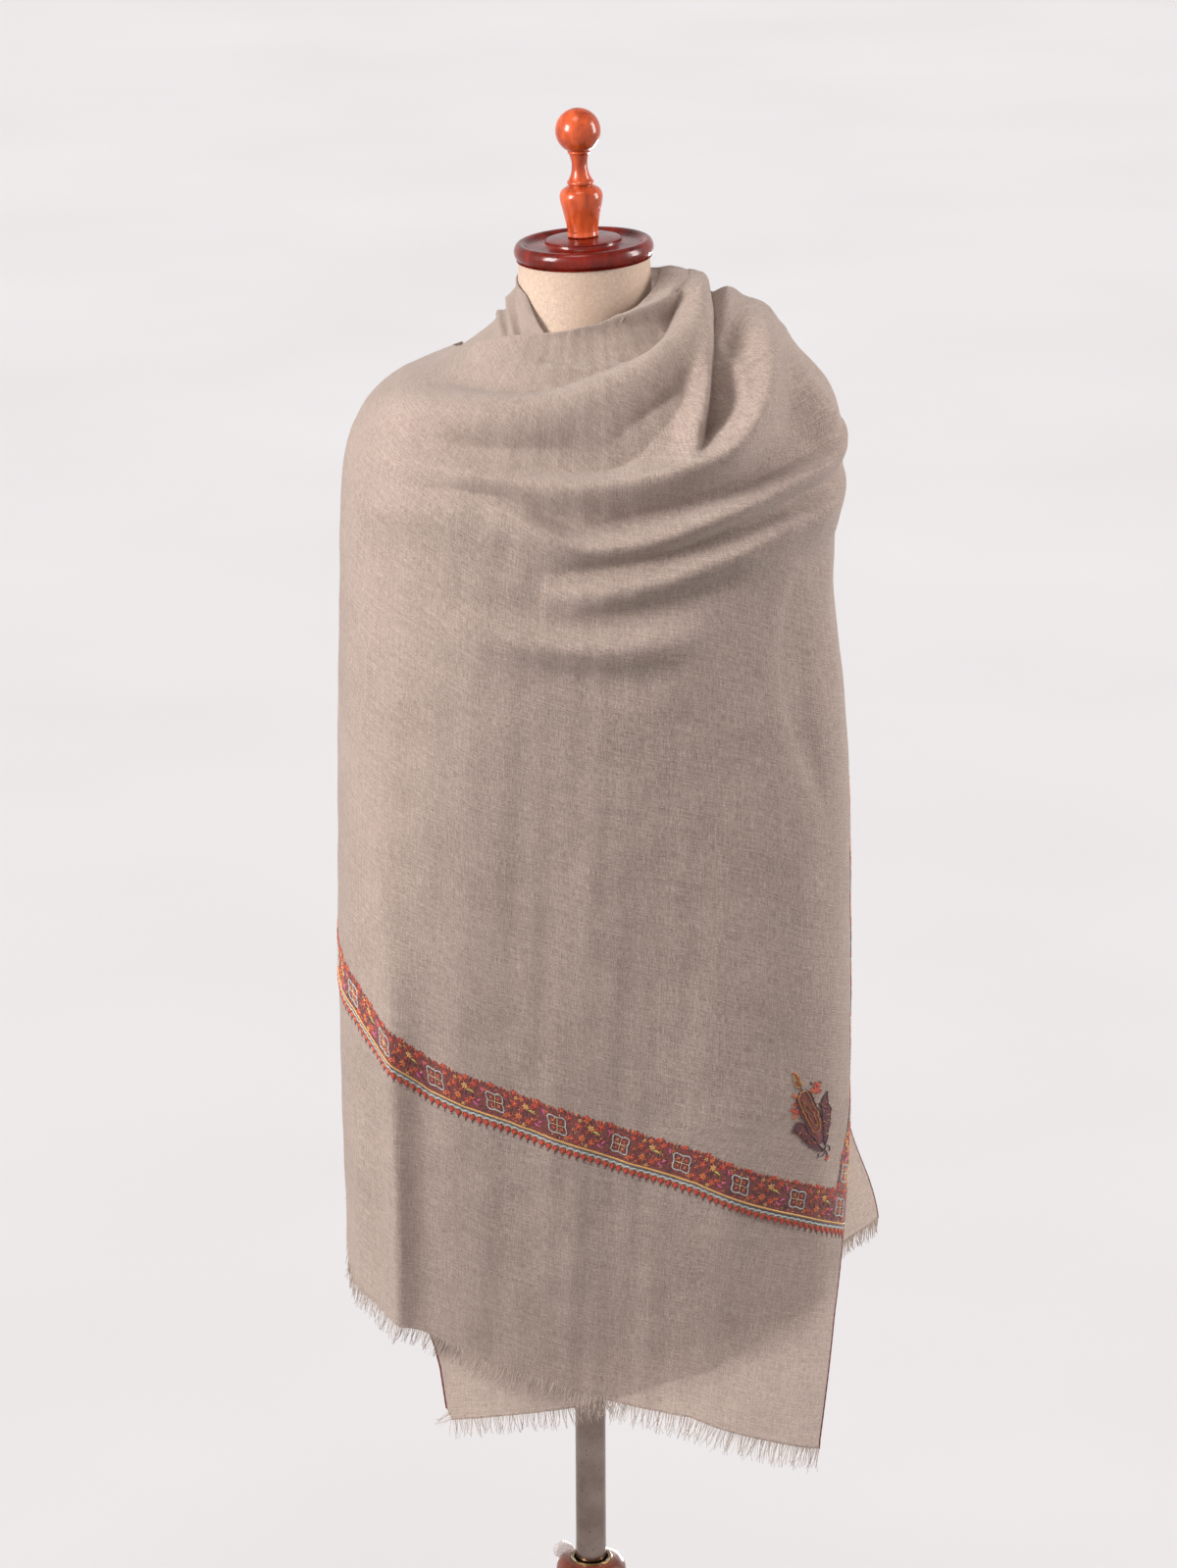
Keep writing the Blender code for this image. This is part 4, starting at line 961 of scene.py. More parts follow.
def field_motifs(work, at, foot, width, turn):
    """One repeat of the flowered field. turn maps (along, across) to (a, b)."""
    def put(x, y):
        return turn(at + x, foot + y)

    def petal(x, y, length, w, degrees, colour, raised=0.0008, curl=0.0):
        a, b = put(x, y)
        a1, b1 = put(x + 1e-4, y)
        lean = math.degrees(math.atan2(b1 - b, a1 - a))
        work.petal(a, b, length, w, degrees + lean, colour, raised, curl)

    def flower(x, y, size, petals, colour, heart, turned_by=0.0):
        a, b = put(x, y)
        work.flower(a, b, size, petals, colour, heart, turned_by)

    middle = width / 2.0
    # pale lozenge frame, its sides scalloped, with four small flowers
    frame_line = []
    for k in range(41):
        t = 2.0 * math.pi * k / 40
        r = 0.0088 * (1.0 + 0.13 * math.cos(4.0 * t)) * (
            1.0 / (abs(math.cos(t)) ** 1.5 + abs(math.sin(t)) ** 1.5) ** (1 / 1.5))
        x, y = r * math.cos(t + math.pi / 4), r * math.sin(t + math.pi / 4)
        frame_line.append(put(0.010 + x + 0.12 * y, middle + y))
    work.line(frame_line, 0.0016, PALE, 0.0011)
    for sx, sy in ((1, 1), (-1, 1), (1, -1), (-1, -1)):
        x, y = 0.010 + 0.0033 * sx + 0.12 * 0.0033 * sy, middle + 0.0033 * sy
        flower(x, y, 0.0021, 4, ORANGE if sx * sy > 0 else RED, CREAM, 45.0)
    work.line([put(0.010, middle - 0.007), put(0.010, middle),
               put(0.010, middle + 0.007)], 0.0008, CREAM, 0.0009)
    work.line([put(0.003, middle), put(0.010, middle), put(0.017, middle)],
              0.0008, CREAM, 0.0009)
    # pink crescents, olive leaf, rosettes and curls
    for x, y, length, w, degrees, colour, raised, curl in (
            (0.0215, 0.0045, 0.0062, 0.0026, 68.0, PINK, 0.0010, 0.0009),
            (0.0250, -0.0080, 0.0060, 0.0024, 28.0, PINK, 0.0010, -0.0008),
            (0.0225, -0.0020, 0.0050, 0.0020, -40.0, PINK, 0.0010, 0.0006),
            (0.0290, 0.0020, 0.0068, 0.0030, 12.0, OLIVE, 0.0010, 0.0008),
            (0.0278, -0.0020, 0.0044, 0.0020, -35.0, RED, 0.0008, 0.0)):
        petal(x, middle + y, length, w, degrees, colour, raised, curl)
    for x, y, size, petals, colour, heart, turned_by in (
            (0.0375, 0.0060, 0.0034, 6, GOLD, RED, 10.0),
            (0.0350, -0.0070, 0.0033, 6, RED, GOLD, 25.0),
            (0.0440, -0.0050, 0.0036, 7, ORANGE, MAROON, 0.0),
            (0.0475, 0.0050, 0.0038, 5, RED, GOLD, 18.0),
            (0.0290, 0.0105, 0.0036, 5, RED, ORANGE, -10.0),
            (0.0530, -0.0075, 0.0030, 5, RED, CREAM, 30.0),
            (0.0410, 0.0115, 0.0028, 5, ORANGE, RED, 0.0),
            (0.0000, 0.0095, 0.0030, 5, RED, GOLD, 12.0),
            (0.0005, -0.0090, 0.0028, 5, ORANGE, WINE, 40.0)):
        flower(x, middle + y, size, petals, colour, heart, turned_by)
    for x, y, size, colour in (
            (0.0195, 0.0085, 0.0022, ORANGE), (0.0325, 0.0065, 0.0022, RED),
            (0.0315, -0.0035, 0.0021, ORANGE), (0.0465, 0.0105, 0.0022, GOLD),
            (0.0480, -0.0100, 0.0023, RED), (0.0390, -0.0110, 0.0021, GOLD),
            (0.0405, 0.0015, 0.0021, RED), (0.0520, 0.0005, 0.0022, ORANGE)):
        flower(x, middle + y, size, 5, colour, WINE, 900.0 * x)
    # tendrils curling inward
    for x, y, size, start in (
            (0.0330, 0.0, 0.0040, 20), (0.0500, -0.0005, 0.0044, 200),
            (0.0205, -0.0100, 0.0030, 90), (0.0395, -0.0005, 0.0030, 120)):
        curl = []
        for k in range(11):
            r, t = size * (1 - k / 14), math.radians(start + 27 * k)
            curl.append(put(x + r * math.cos(t), middle + y + r * math.sin(t)))
        work.line(curl, 0.0008, NAVY, 0.0009)
    # small filling stitches
    for _k in range(200):
        x, y = rng.uniform(0.0, REPEAT), rng.uniform(0.0014, width - 0.0014)
        colour = (WINE, MAROON, RED, NAVY, ORANGE, MAROON, WINE, GOLD)[rng.integers(0, 8)]
        petal(x, y, rng.uniform(0.0014, 0.0028), rng.uniform(0.0006, 0.0011),
              rng.uniform(0.0, 360.0), colour, 0.0007)


def ground(work, rows):
    """The dark ground of a field, four points a row, its inner edge ragged."""
    points = [(a, b, 0.0003) for row in rows for a, b in row]
    faces = [(p, p + 1, p + 5, p + 4) for k in range(len(rows) - 1)
             for p in range(4 * k, 4 * k + 3)]
    work.add(points, faces, MAROON)


def end_band(work, start, end):
    """Flowered field, gold line, pale wave and hanging buds."""
    def straight(x, y):
        return x, y + 0.0006 * math.sin(x * 41.0) + 0.0003 * math.sin(x * 97.0 + 1.0)

    steps = int((end - start) / 0.0022)
    rows = []
    for k, x in enumerate(np.linspace(start, end, steps + 1)):
        top = FIELD + (0.0011 if k % 2 else -0.0006) + 0.0005 * math.sin(x * 310.0)
        rows.append([straight(x, y) for y in (0.0006, FIELD * 0.3, FIELD * 0.65, top)])
    ground(work, rows)
    position = start + 0.006
    while position < end - REPEAT * 0.2:
        field_motifs(work, position, 0.0, FIELD, straight)
        position += REPEAT
    x = start + 0.002
    k = 0
    while x < end - 0.003:
        # spikes and little flowers on the upper edge
        a, b = straight(x, FIELD - 0.0008)
        work.petal(a, b, rng.uniform(0.0024, 0.0040), 0.0017,
                   90.0 + rng.uniform(-24, 24), (RED, MAROON, ORANGE, RED)[k % 4], 0.0008)
        if k % 7 == 3:
            work.flower(a, b + 0.0016, 0.0030, 5, RED, GOLD, 20.0 * k)
        x += rng.uniform(0.0026, 0.0036)
        k += 1
    fine = np.linspace(start, end, int((end - start) / 0.0011))
    gold = [straight(q, -0.0002) for q in fine]
    work.line(gold, 0.0019, GOLD, 0.0013)
    gold_low = [straight(q, -0.0021) for q in fine]
    work.line(gold_low, 0.0009, NAVY, 0.0008)
    wave = [straight(q, -0.0040 + 0.0006 * math.sin(q * 966.0)) for q in fine]
    work.line(wave, 0.0019, PALE, 0.0009)
    x = start + 0.003
    while x < end - 0.002:
        a, b = straight(x, -0.0052)
        work.petal(a, b + 0.0008, 0.0070, 0.0060, -90.0 + rng.uniform(-6, 6),
                   MAROON, 0.0005)
        work.petal(a, b, 0.0056, 0.0044, -90.0 + rng.uniform(-6, 6), RED, 0.0011)
        work.petal(a - 0.0014, b - 0.0002, 0.0026, 0.0010, -125.0, ORANGE, 0.0012)
        work.petal(a + 0.0014, b - 0.0002, 0.0026, 0.0010, -55.0, ORANGE, 0.0012)
        work.petal(a, b - 0.0062, 0.0020, 0.0009, -90.0, MAROON, 0.0006)
        x += 0.0065


def edge_band(work, start, end, inset, along_edge, width=0.0235):
    """The same field beside a selvedge. along_edge maps (run, inset)."""
    steps = int((end - start) / 0.0024)
    rows = []
    for k in range(steps + 1):
        r = start + (end - start) * k / steps
        inner = inset + width + (0.0010 if k % 2 else -0.0005)
        rows.append([along_edge(r, w) for w in (inset, inset + width * 0.35,
                                                inset + width * 0.7, inner)])
    ground(work, rows)
    position = start + 0.004
    while position < end - REPEAT * 0.6:
        field_motifs(work, position, inset, width, along_edge)
        position += REPEAT
    fine = np.linspace(start, end, int((end - start) / 0.0012))
    work.line([along_edge(q, inset - 0.0006) for q in fine], 0.0016, GOLD, 0.0011)


gold_above = over.line_above_hem(GOLD_LINE)
band_run = over.measure_at(gold_above)
work = Stitches()
end_band(work, 0.0008, band_run[-1] - 0.001)
band_piece = work.build("embroidery_end_band", over, band_run, gold_above)

side_run = over.measure_at(0.30)
work = Stitches()
edge_band(work, gold_above[0] + FIELD + 0.004, SIDE_BAND_TOP, EDGE_INSET,
          lambda r, w: (w, r))
side_piece = work.build("embroidery_side_band", over, side_run)

back_run = back.measure_at(0.015)
work = Stitches()
edge_band(work, 0.001, back_run[-1] - 0.001, EDGE_INSET, lambda r, w: (r, w))
back_piece = work.build("embroidery_back_band", back, back_run)


def boteh(work, tip, foot):
    """The lone paisley flower above the band, from its tip to its stem."""
    span = np.subtract(foot, tip)
    length = math.hypot(*span)
    down = span / length
    heading = 180.0 - math.degrees(math.atan2(down[1], down[0]))

    def put(t, q):
        """t runs from the tip (0) to the stem (1), q to the right of it."""
        return spot_on_over(tip[0] + down[0] * t * length - down[1] * q,
                            tip[1] + down[1] * t * length + down[0] * q)

    def outline(points, colour, width, raised=0.0010, close=True):
        pts = along(points + points[:1] if close else points, 60)
        work.line([put(t, q) for t, q in pts], width, colour, raised)

    def filled(points, colour, raised=0.0005):
        ring = along(points + points[:1], 49)[:-1]
        centre = ring.mean(0)
        verts = [(*put(*centre), raised)]
        verts += [(*put(*(centre + (p - centre) * 0.6)), raised) for p in ring]
        verts += [(*put(*p), 0.0002) for p in ring]
        n = len(ring)
        faces = [(0, 1 + k, 1 + (k + 1) % n) for k in range(n)]
        faces += [(1 + k, 1 + n + k, 1 + n + (k + 1) % n, 1 + (k + 1) % n)
                  for k in range(n)]
        work.add(verts, faces, colour)

    def leaf(t, q, size, width, turn, colour, raised=0.0009):
        work.petal(*put(t, q), size, width, heading + turn, colour, raised)

    body = [(0.20, 0.0000), (0.24, 0.0060), (0.36, 0.0068), (0.50, 0.0076),
            (0.62, 0.0074), (0.72, 0.0050), (0.82, 0.0006), (0.74, -0.0034),
            (0.62, -0.0060), (0.50, -0.0068), (0.38, -0.0074), (0.27, -0.0070)]
    right_leaf = [(0.35, 0.0194), (0.44, 0.0176), (0.52, 0.0168), (0.60, 0.0150),
                  (0.68, 0.0120), (0.76, 0.0082), (0.86, 0.0024), (0.76, 0.0038),
                  (0.66, 0.0064), (0.56, 0.0086), (0.46, 0.0104), (0.39, 0.0140)]
    left_leaf = [(0.54, -0.0185), (0.49, -0.0134), (0.52, -0.0090), (0.60, -0.0068),
                 (0.70, -0.0050), (0.80, -0.0026), (0.91, -0.0010), (0.82, -0.0078),
                 (0.74, -0.0116), (0.66, -0.0142), (0.60, -0.0152)]
    for shape, colour in ((right_leaf, WINE), (left_leaf, WINE), (body, MAROON)):
        filled(shape, colour)
        outline(shape, NAVY, 0.0008)
    # dense flecks on the dark ground, then a serrated rim
    for shape, fleck, count in ((right_leaf, GOLD, 46), (left_leaf, ORANGE, 46),
                                (body, RED, 60)):
        ring = along(shape + shape[:1], count)[:-1]
        centre = ring.mean(0)
        for k, p in enumerate(ring):
            leaf(*(centre + (p - centre) * rng.uniform(0.20, 0.86)), 0.0021, 0.0009,
                 rng.uniform(0, 360), (fleck, RED, NAVY, ORANGE, MAROON)[k % 5], 0.0011)
        for p in ring[::3]:
            leaf(*p, 0.0020, 0.0011, rng.uniform(0, 360), (WINE, MAROON)[len(ring) % 2])
    outline([(0.21, -0.0012), (0.23, 0.0038), (0.34, 0.0046), (0.46, 0.0052),
             (0.60, 0.0050), (0.68, 0.0020), (0.66, -0.0024), (0.53, -0.0038),
             (0.40, -0.0046), (0.28, -0.0050)], GOLD, 0.0009, 0.0015)
    outline([(0.30, -0.0014), (0.40, 0.0006), (0.52, 0.0026), (0.61, 0.0026),
             (0.58, -0.0008), (0.48, -0.0018), (0.38, -0.0024)], GOLD, 0.0007, 0.0015)
    # berries up the tip, joined by short stems
    outline([(0.22, 0.0010), (0.15, 0.0004), (0.08, -0.0004), (0.01, 0.0)], MAROON,
            0.0008, close=False)
    for k in range(9):
        t = 0.018 * k
        side = 0.0014 * (1 if k % 2 else -1) * (0.4 + t * 5.0)
        work.flower(*put(t, side), 0.0017, 5, GOLD if k % 3 else ORANGE, MAROON, 40.0 * k)
        leaf(t + 0.01, side * 2.0, 0.0016, 0.0008, 90.0 if k % 2 else -90.0, MAROON)
    # side flowers
    for t, q, size, colour in (
            (0.275, 0.0120, 0.0036, RED), (0.225, 0.0140, 0.0028, RED),
            (0.265, 0.0090, 0.0026, ORANGE), (0.225, -0.0064, 0.0024, ORANGE),
            (0.385, -0.0100, 0.0034, RED), (0.430, -0.0130, 0.0024, ORANGE),
            (0.31, -0.0085, 0.0020, RED)):
        work.flower(*put(t, q), size, 5, colour, GOLD, heading + 20.0)
    for t, q, turn in ((0.24, 0.0185, 120), (0.30, 0.0165, 60), (0.20, 0.0105, 170),
                       (0.40, 0.0185, 30), (0.50, 0.0172, 35), (0.60, 0.0152, 40),
                       (0.69, 0.0118, 40), (0.47, -0.0150, -130), (0.56, -0.0190, -70),
                       (0.64, -0.0150, -50), (0.73, -0.0120, -45), (0.35, -0.0110, -120)):
        leaf(t, q, 0.0030, 0.0014, turn, MAROON)
    # stem, curls and the small flower at the foot
    outline([(0.88, 0.0), (0.94, 0.0014), (0.98, 0.0006)], NAVY, 0.0009, close=False)
    outline([(0.92, 0.001), (0.95, -0.0030), (0.93, -0.0062), (0.905, -0.0046)],
            NAVY, 0.0008, close=False)
    outline([(0.90, 0.001), (0.87, 0.0030), (0.90, 0.0052), (0.95, 0.0040)],
            NAVY, 0.0008, close=False)
    work.flower(*put(1.0, 0.0), 0.0030, 5, RED, PINK, heading)


def spot_on_over(x, z):
    """(along, above hem) of the place on the front seen at x, z."""
    grid, up = over.points, over.above_hem
    miss = ((grid[..., 0] - x) ** 2 + (grid[..., 2] - z) ** 2
            + np.where(grid[..., 1] < 0.05, 0.0, 1.0))
    i, j = np.unravel_index(np.argmin(miss), miss.shape)
    i, j = min(max(i, 1), grid.shape[0] - 2), min(max(j, 1), grid.shape[1] - 2)
    by_u = (grid[i + 1, j] - grid[i - 1, j])[[0, 2]] / 2.0
    by_v = (grid[i, j + 1] - grid[i, j - 1])[[0, 2]] / 2.0
    di, dj = np.linalg.solve(np.array((by_u, by_v)).T,
                             (x - grid[i, j, 0], z - grid[i, j, 2]))
    return (flower_run[i] + di * (flower_run[i + 1] - flower_run[i - 1]) / 2.0,
            up[i, j] + di * (up[i + 1, j] - up[i - 1, j]) / 2.0
            + dj * (up[i, j + 1] - up[i, j - 1]) / 2.0)


flower_run = over.measure_at(0.30)
work = Stitches()
boteh(work, BOTEH_TIP, BOTEH_FOOT)
boteh_piece = work.build("embroidery_boteh", over, flower_run)


# ----------------------------------------------- dark-red edge stitches
def whipped(name, line, normals, pitch=0.0021, radius=0.00062):
    """Overstitches along an edge: a beaded cord of thread."""
    run = lengths(line, 0)
    count = int(run[-1] / (pitch / 4.0))
    at = np.linspace(0.0, run[-1], count)
    centre = np.stack([np.interp(at, run, line[:, k]) for k in range(3)], 1)
    normal = np.stack([np.interp(at, run, normals[:, k]) for k in range(3)], 1)
    tangent = np.gradient(centre, axis=0)
    tangent /= np.linalg.norm(tangent, axis=1, keepdims=True)
    side = np.cross(tangent, normal)
    beat = np.abs(np.sin(math.pi * at / pitch))
    swell = radius * (0.72 + 0.45 * beat + 0.08 * np.sin(at * 733.0))
    sides = 6
    points = np.zeros((count, sides, 3))
    for s in range(sides):
        t = 2.0 * math.pi * s / sides
        points[:, s] = (centre + side * (swell * 1.25 * math.cos(t))[:, None]
                        + normal * (swell * math.sin(t))[:, None])
    faces = []
    for k in range(count - 1):
        for s in range(sides):
            q = (s + 1) % sides
            faces.append((k * sides + s, k * sides + q,
                          (k + 1) * sides + q, (k + 1) * sides + s))
    mesh = mesh_from(name, points, faces)
    # One thread colour in a lit and a shaded copy: lighter on each stitch's crest, darker
    # in the narrow gaps between stitches, as painted highlight and painted shade.
    painted_crest_light_and_gap_shade = np.where(beat[:, None, None] > 0.35, np.array(rgb(128, 36, 42)),
                    np.array(rgb(78, 24, 34)))
    painted_crest_light_and_gap_shade = np.broadcast_to(painted_crest_light_and_gap_shade.reshape(count, 1, 4), (count, sides, 4))
    layer = mesh.color_attributes.new(name="thread", type="FLOAT_COLOR", domain="POINT")
    layer.data.foreach_set("color", np.ascontiguousarray(painted_crest_light_and_gap_shade, float).ravel())
    return place(name, mesh, THREAD)


# only where these selvedges show, below the seam with the back layer
low = over.points[0, :, 2] < OVER_SEAM_Z
edge_over = whipped("edge_stitch_over", over.points[0][low], over.normals[0][low])
edge_back = whipped("edge_stitch_back", back.points[:, -1], back.normals[:, -1])
seen = under.points[-1, :, 2] < UNDER_SEAM_Z
edge_under = whipped("edge_stitch_under_right", under.points[-1][seen],
                     under.normals[-1][seen])
rise = under.us < corner
edge_under_left = whipped("edge_stitch_under_left", under.points[rise, -1],
                          under.normals[rise, -1])


# ------------------------------------------------------------- the dress form
def rings_mesh(name, rings, caps=True):
    """A closed mesh through rings of points."""
    count, columns = rings.shape[:2]
    points = rings.reshape(-1, 3).tolist()
    faces = []
    for i in range(count - 1):
        for j in range(columns):
            k = (j + 1) % columns
            faces.append((i * columns + j, i * columns + k,
                          (i + 1) * columns + k, (i + 1) * columns + j))
    if caps:
        faces.append(tuple(range(columns)))
        faces.append(tuple((count - 1) * columns + j for j in range(columns))[::-1])
    mesh = mesh_from(name, points, faces)
    bm = bmesh.new()
    bm.from_mesh(mesh)
    bmesh.ops.remove_doubles(bm, verts=bm.verts, dist=1e-6)
    bmesh.ops.recalc_face_normals(bm, faces=bm.faces)
    bm.to_mesh(mesh)
    bm.free()
    mesh.shade_smooth()
    mesh.set_sharp_from_angle(angle=math.radians(42.0))
    return mesh


angles = np.linspace(0.0, 2.0 * math.pi, 128, endpoint=False)
angle_grid, ring_grid = np.meshgrid(angles, np.linspace(0.0, len(TORSO) - 1.0, 145))
torso_rings = ring_point(TORSO, angle_grid, ring_grid)
torso_rings[0, :, 2] = (NECK_TOP_Z
                        + torso_rings[0, :, 0] * math.tan(math.radians(NECK_TILT)))
place("form_padding", rings_mesh("form_padding", torso_rings), LINEN,
      ["form_torso"])


def turned(name, profile, mat, node, z=0.0, tilt=0.0, steps=96, fine=4):
    """A turned piece: profile points (radius, height) down its outer side."""
    pts = np.array(profile)
    if fine > 1:
        pts = along(pts, (len(pts) - 1) * fine + 1)
    pts[:, 0] = np.maximum(pts[:, 0], 0.0)
    t = np.linspace(0.0, 2.0 * math.pi, steps, endpoint=False)
    rings = np.stack([pts[:, :1] * np.cos(t), pts[:, :1] * np.sin(t),
                      np.repeat(pts[:, 1:], steps, 1)], -1)
    mesh = rings_mesh(name, rings, caps=False)
    mesh.transform(Matrix.Translation((0.0, 0.0, z))
                   @ Matrix.Rotation(-math.radians(tilt), 4, "Y"))
    return place(name, mesh, mat, [node])


turned("neck_cap_wood", (
    (0.0, 0.0190), (0.0130, 0.0190), (0.0300, 0.0176), (0.0315, 0.0158),
    (0.0335, 0.0130), (0.0460, 0.0122), (0.0488, 0.0128), (0.0510, 0.0148),
    (0.0545, 0.0156), (0.0573, 0.0140), (0.0590, 0.0106), (0.0592, 0.0072),
    (0.0580, 0.0036), (0.0556, 0.0012), (0.0530, 0.0004), (0.0, 0.0004)),
    CAP_WOOD, "neck_cap", NECK_TOP_Z, NECK_TILT)
BALL_Z, BALL_R = 0.1092, 0.0192
ball = [(BALL_R * math.sin(math.radians(a)), BALL_Z + BALL_R * math.cos(math.radians(a)))
        for a in range(0, 151, 10)]
turned("finial_wood", tuple(ball) + (
    (0.0098, 0.0912), (0.0084, 0.0890), (0.0068, 0.0830), (0.0067, 0.0790),
    (0.0076, 0.0730), (0.0098, 0.0680), (0.0112, 0.0662), (0.0112, 0.0645),
    (0.0102, 0.0634), (0.0102, 0.0626), (0.0122, 0.0618), (0.0162, 0.0590),
    (0.0182, 0.0545), (0.0178, 0.0490), (0.0160, 0.0410), (0.0140, 0.0310),
    (0.0128, 0.0240), (0.0124, 0.0194), (0.0, 0.0194)),
    FINIAL_WOOD, "finial", NECK_TOP_Z, NECK_TILT)
turned("pole_tube", (
    (0.0, TORSO_BOTTOM_Z - REST_GAP), (POLE_R, TORSO_BOTTOM_Z - REST_GAP),
    (POLE_R, POLE_FOOT_Z), (0.0, POLE_FOOT_Z)), CHROME, "pole", fine=1)
SEAT_Z = HUB_TOP_Z - 0.0100
turned("hub_wood", (
    (0.0, POLE_FOOT_Z - REST_GAP), (HUB_BORE_R, POLE_FOOT_Z - REST_GAP),
    (HUB_BORE_R, SEAT_Z), (COLLAR_R + REST_GAP, SEAT_Z),
    (COLLAR_R + REST_GAP, HUB_TOP_Z), (0.0250, HUB_TOP_Z - 0.0004),
    (0.0292, HUB_TOP_Z - 0.0030), (0.0314, HUB_TOP_Z - 0.0080),
    (HUB_R, HUB_TOP_Z - 0.0150), (HUB_R, HUB_BOTTOM_Z + 0.0200),
    (0.0290, HUB_BOTTOM_Z + 0.0120), (0.0220, HUB_BOTTOM_Z + 0.0060),
    (0.0240, HUB_BOTTOM_Z), (0.0180, HUB_BOTTOM_Z - 0.0120),
    (0.0, HUB_BOTTOM_Z - 0.0160)), STAND_WOOD, "base_hub", fine=1)
turned("collar_ring", (
    (COLLAR_R, SEAT_Z + REST_GAP), (0.0152, SEAT_Z + REST_GAP),
    (0.0152, HUB_TOP_Z - 0.0030), (0.0158, HUB_TOP_Z + 0.0006),
    (0.0186, HUB_TOP_Z + 0.0010), (COLLAR_R, HUB_TOP_Z + 0.0002),
    (COLLAR_R, SEAT_Z + REST_GAP)), BRASS, "base_collar", fine=1)


def leg(name, node, degrees):
    """A cabriole leg: rounded sections along its run."""
    run = ((HUB_R + REST_GAP, 0.235, 0.0500), (0.060, 0.238, 0.0440),
           (0.100, 0.222, 0.0340), (0.140, 0.180, 0.0270), (0.172, 0.130, 0.0230),
           (0.204, 0.080, 0.0210), (0.242, 0.040, 0.0210), (0.282, 0.0190, 0.0240))
    line = along(run, 57)
    way = np.gradient(line[:, :2], axis=0)
    way /= np.linalg.norm(way, axis=1, keepdims=True)
    square = np.stack([-way[:, 1], way[:, 0]], 1)
    square[0] = (0.0, 1.0)
    upper = line[:, :2] + square * line[:, 2:3] / 2.0
    lower = line[:, :2] - square * line[:, 2:3] / 2.0
    upper[0, 0] = lower[0, 0] = HUB_R + REST_GAP
    pad = [(0.300, 0.0290), (0.3120, 0.0230), (LEG_REACH - 0.001, 0.0120),
           (LEG_REACH - 0.003, 0.0), (0.2680, 0.0)]
    lower = lower[lower[:, 1] > 0.0080]
    outline = [tuple(p) for p in upper] + pad + [tuple(p) for p in lower[::-1]]
    bm = bmesh.new()
    near = [bm.verts.new((x, -LEG_WIDTH / 2.0, z)) for x, z in outline]
    far = [bm.verts.new((x, LEG_WIDTH / 2.0, z)) for x, z in outline]
    n = len(outline)
    bm.faces.new(near)
    bm.faces.new(far[::-1])
    for k in range(n):
        q = (k + 1) % n
        bm.faces.new((near[k], near[q], far[q], far[k]))
    bmesh.ops.recalc_face_normals(bm, faces=bm.faces)
    rim = [e for e in bm.edges if abs(e.verts[0].co.y - e.verts[1].co.y) < 1e-6]
    bmesh.ops.bevel(bm, geom=rim, offset=0.0022, segments=3, profile=0.5,
                    affect="EDGES", clamp_overlap=True)
    mesh = bpy.data.meshes.new(name)
    bm.to_mesh(mesh)
    bm.free()
    mesh.shade_smooth()
    mesh.set_sharp_from_angle(angle=math.radians(40.0))
    mesh.transform(Matrix.Rotation(-math.radians(degrees), 4, "Z"))
    return place(name, mesh, STAND_WOOD, [node])


for number, degrees in enumerate(LEG_ANGLES, 1):
    leg("leg_wood_%d" % number, "base_leg_%d" % number, degrees)


def lock_knob():
    """The two-lobed thumb knob and its screw behind the hub."""
    away = math.radians(KNOB_ANGLE)
    out = np.array([math.cos(away), -math.sin(away), 0.0])
    stand = Matrix.Rotation(math.radians(90.0) - away, 4, "Z") @ Matrix.Rotation(
        math.radians(90.0), 4, "X")
    # screw: a threaded rod
    t = np.linspace(0.0, 2.0 * math.pi, 32, endpoint=False)
    rings = []
    for k in range(41):
        h = -0.0050 + 0.0100 * k / 40
        r = 0.0030 - (0.00025 if k % 2 else 0.0)
        rings.append(np.stack([r * np.cos(t), r * np.sin(t), np.full(32, h)], -1))
    mesh = rings_mesh("screw_rod", np.array(rings))
    mesh.shade_smooth()
    middle = out * (HUB_R + REST_GAP + 0.0050)
    mesh.transform(Matrix.Translation((middle[0], middle[1], KNOB_Z)) @ stand)
    place("screw_rod", mesh, CHROME, ["lock_screw"])
    # knob: lobed plate with rounded rims
    t = np.linspace(0.0, 2.0 * math.pi, 96, endpoint=False)
    r = 0.0125 + 0.0065 * np.cos(2.0 * t) - 0.0012 * np.sin(t)
    turn = math.radians(KNOB_TILT)
    rings = []
    for h, inset in ((-0.0035, 0.0012), (-0.0031, 0.0004), (-0.0024, 0.0),
                     (0.0024, 0.0), (0.0031, 0.0004), (0.0035, 0.0012)):
        rings.append(np.stack([(r - inset) * np.cos(t + turn),
                               (r - inset) * np.sin(t + turn), np.full(96, h)], -1))
    mesh = rings_mesh("knob_lobes", np.array(rings))
    middle = out * (HUB_R + REST_GAP + 0.0100 + REST_GAP + 0.0035)
    mesh.transform(Matrix.Translation((middle[0], middle[1], KNOB_Z)) @ stand)
    place("knob_lobes", mesh, CLEAR, ["lock_knob"])


lock_knob()

# ------------------------------------------------------- floor, light, camera
bpy.ops.mesh.primitive_plane_add(size=90.0, location=(0.0, 0.0, -0.001))
floor = bpy.context.object
floor.name = "studio_floor"
floor.visible_diffuse = False
floor.data.materials.append(floor_material())
floor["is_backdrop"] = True

world = bpy.data.worlds.new("studio")
bpy.context.scene.world = world
world.use_nodes = True
sky, join = world.node_tree.nodes, world.node_tree.links.new
split = sky.new("ShaderNodeSeparateXYZ")
join(sky.new("ShaderNodeTexCoord").outputs["Generated"], split.inputs[0])


def by_height(**levels):
    """The room's brightness, ranged by how high a ray points."""
    node = sky.new("ShaderNodeMapRange")
    for key, value in levels.items():
        node.inputs[key.replace("_", " ")].default_value = value
    join(split.outputs["Z"], node.inputs["Value"])
    return node.outputs["Result"]


strength = sky.new("ShaderNodeMath")
strength.operation = "MULTIPLY"
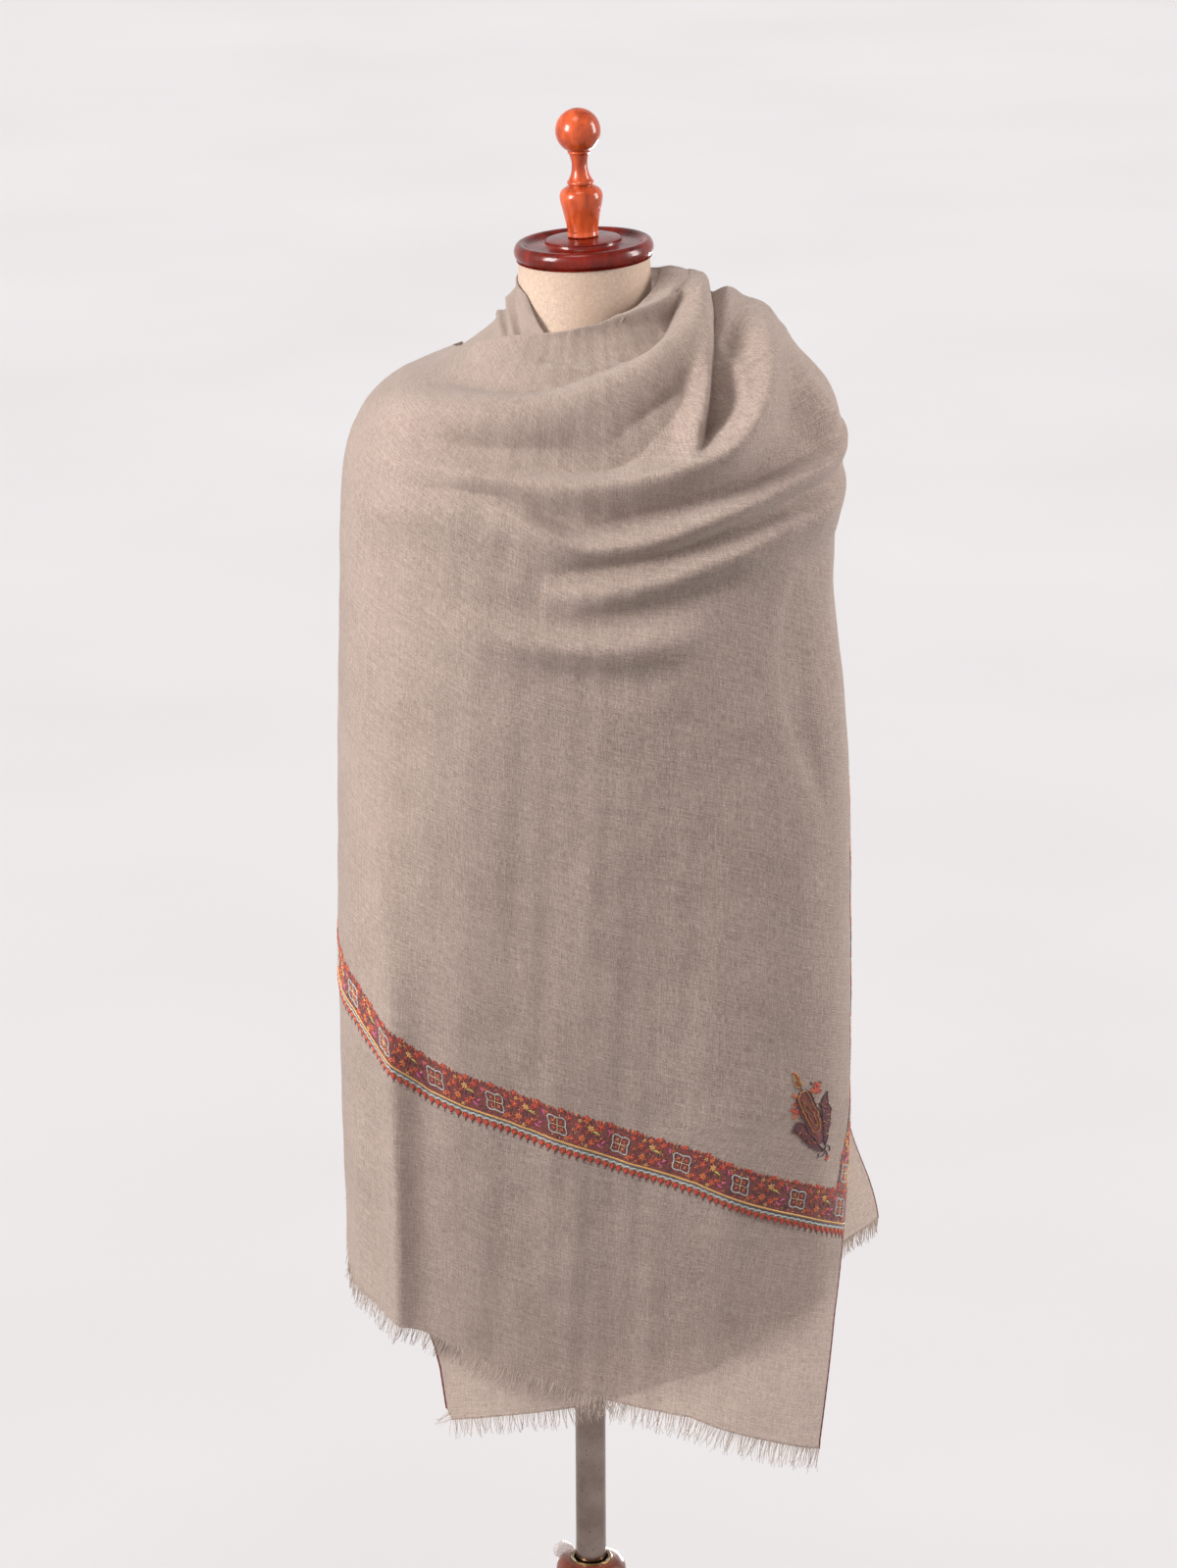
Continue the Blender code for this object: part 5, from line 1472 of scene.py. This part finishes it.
# dim below the floor's level, brightest at eye level, darker overhead
join(by_height(From_Min=-0.45, From_Max=0.05, To_Min=0.30, To_Max=0.92),
     strength.inputs[0])
join(by_height(From_Min=0.30, From_Max=0.80, To_Min=1.0, To_Max=0.42),
     strength.inputs[1])
sky["Background"].inputs["Color"].default_value = rgb(246, 243, 244)
join(strength.outputs[0], sky["Background"].inputs["Strength"])


def softbox(name, place_at, aim, size, power):
    """A soft light for the pieces only, so the paper stays even."""
    light = bpy.data.lights.new(name, "AREA")
    light.shape = "RECTANGLE"
    light.size, light.size_y = size
    light.energy = power
    light.color = (1.0, 0.97, 0.95)
    obj = bpy.data.objects.new(name, light)
    bpy.context.scene.collection.objects.link(obj)
    obj.location = place_at
    way = Vector(aim) - Vector(place_at)
    obj.rotation_euler = way.to_track_quat("-Z", "Y").to_euler()
    obj.light_linking.receiver_collection = lit


lit = bpy.data.collections.new("lit_by_softboxes")
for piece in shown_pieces():
    lit.objects.link(piece)
softbox("key", (-2.7, -1.5, 2.5), (0.0, 0.0, 1.10), (1.1, 1.5), 190.0)
softbox("top", (-0.5, -0.7, 4.0), (0.0, 0.0, 1.0), (1.0, 1.0), 20.0)
softbox("rim", (2.9, 0.2, 2.1), (0.1, 0.07, 1.1), (0.8, 2.0), 100.0)
softbox("low_back", (0.6, 2.6, 0.35), (0.05, 0.0, 0.6), (1.6, 0.6), 75.0)
paper = bpy.data.lights.new("paper_wash", "SUN")
paper.energy = 1.15
paper.angle = math.radians(60.0)
wash = bpy.data.objects.new("paper_wash", paper)
bpy.context.scene.collection.objects.link(wash)
only_paper = bpy.data.collections.new("lit_by_paper_wash")
only_paper.objects.link(floor)
wash.light_linking.receiver_collection = only_paper

# the photo's view: metres from the pole, degrees, and a long lens in mm
CAMERA_X, CAMERA_AWAY, CAMERA_Z = 0.0013, 4.43, 2.50
CAMERA_DOWN, CAMERA_ROLL = 17.8, -0.3
LENS = 122.4
camera_data = bpy.data.cameras.new("photo_view")
camera = bpy.data.objects.new("photo_view", camera_data)
bpy.context.scene.collection.objects.link(camera)
bpy.context.scene.camera = camera
camera_data.lens = LENS
camera_data.sensor_width = 36.0
camera_data.clip_end = 200.0
camera.matrix_world = (Matrix.Translation((CAMERA_X, POLE_SET_BACK - CAMERA_AWAY, CAMERA_Z))
                       @ Matrix.Rotation(math.radians(90.0 - CAMERA_DOWN), 4, "X")
                       @ Matrix.Rotation(math.radians(CAMERA_ROLL), 4, "Z"))
bpy.context.scene.view_settings.view_transform = "Standard"
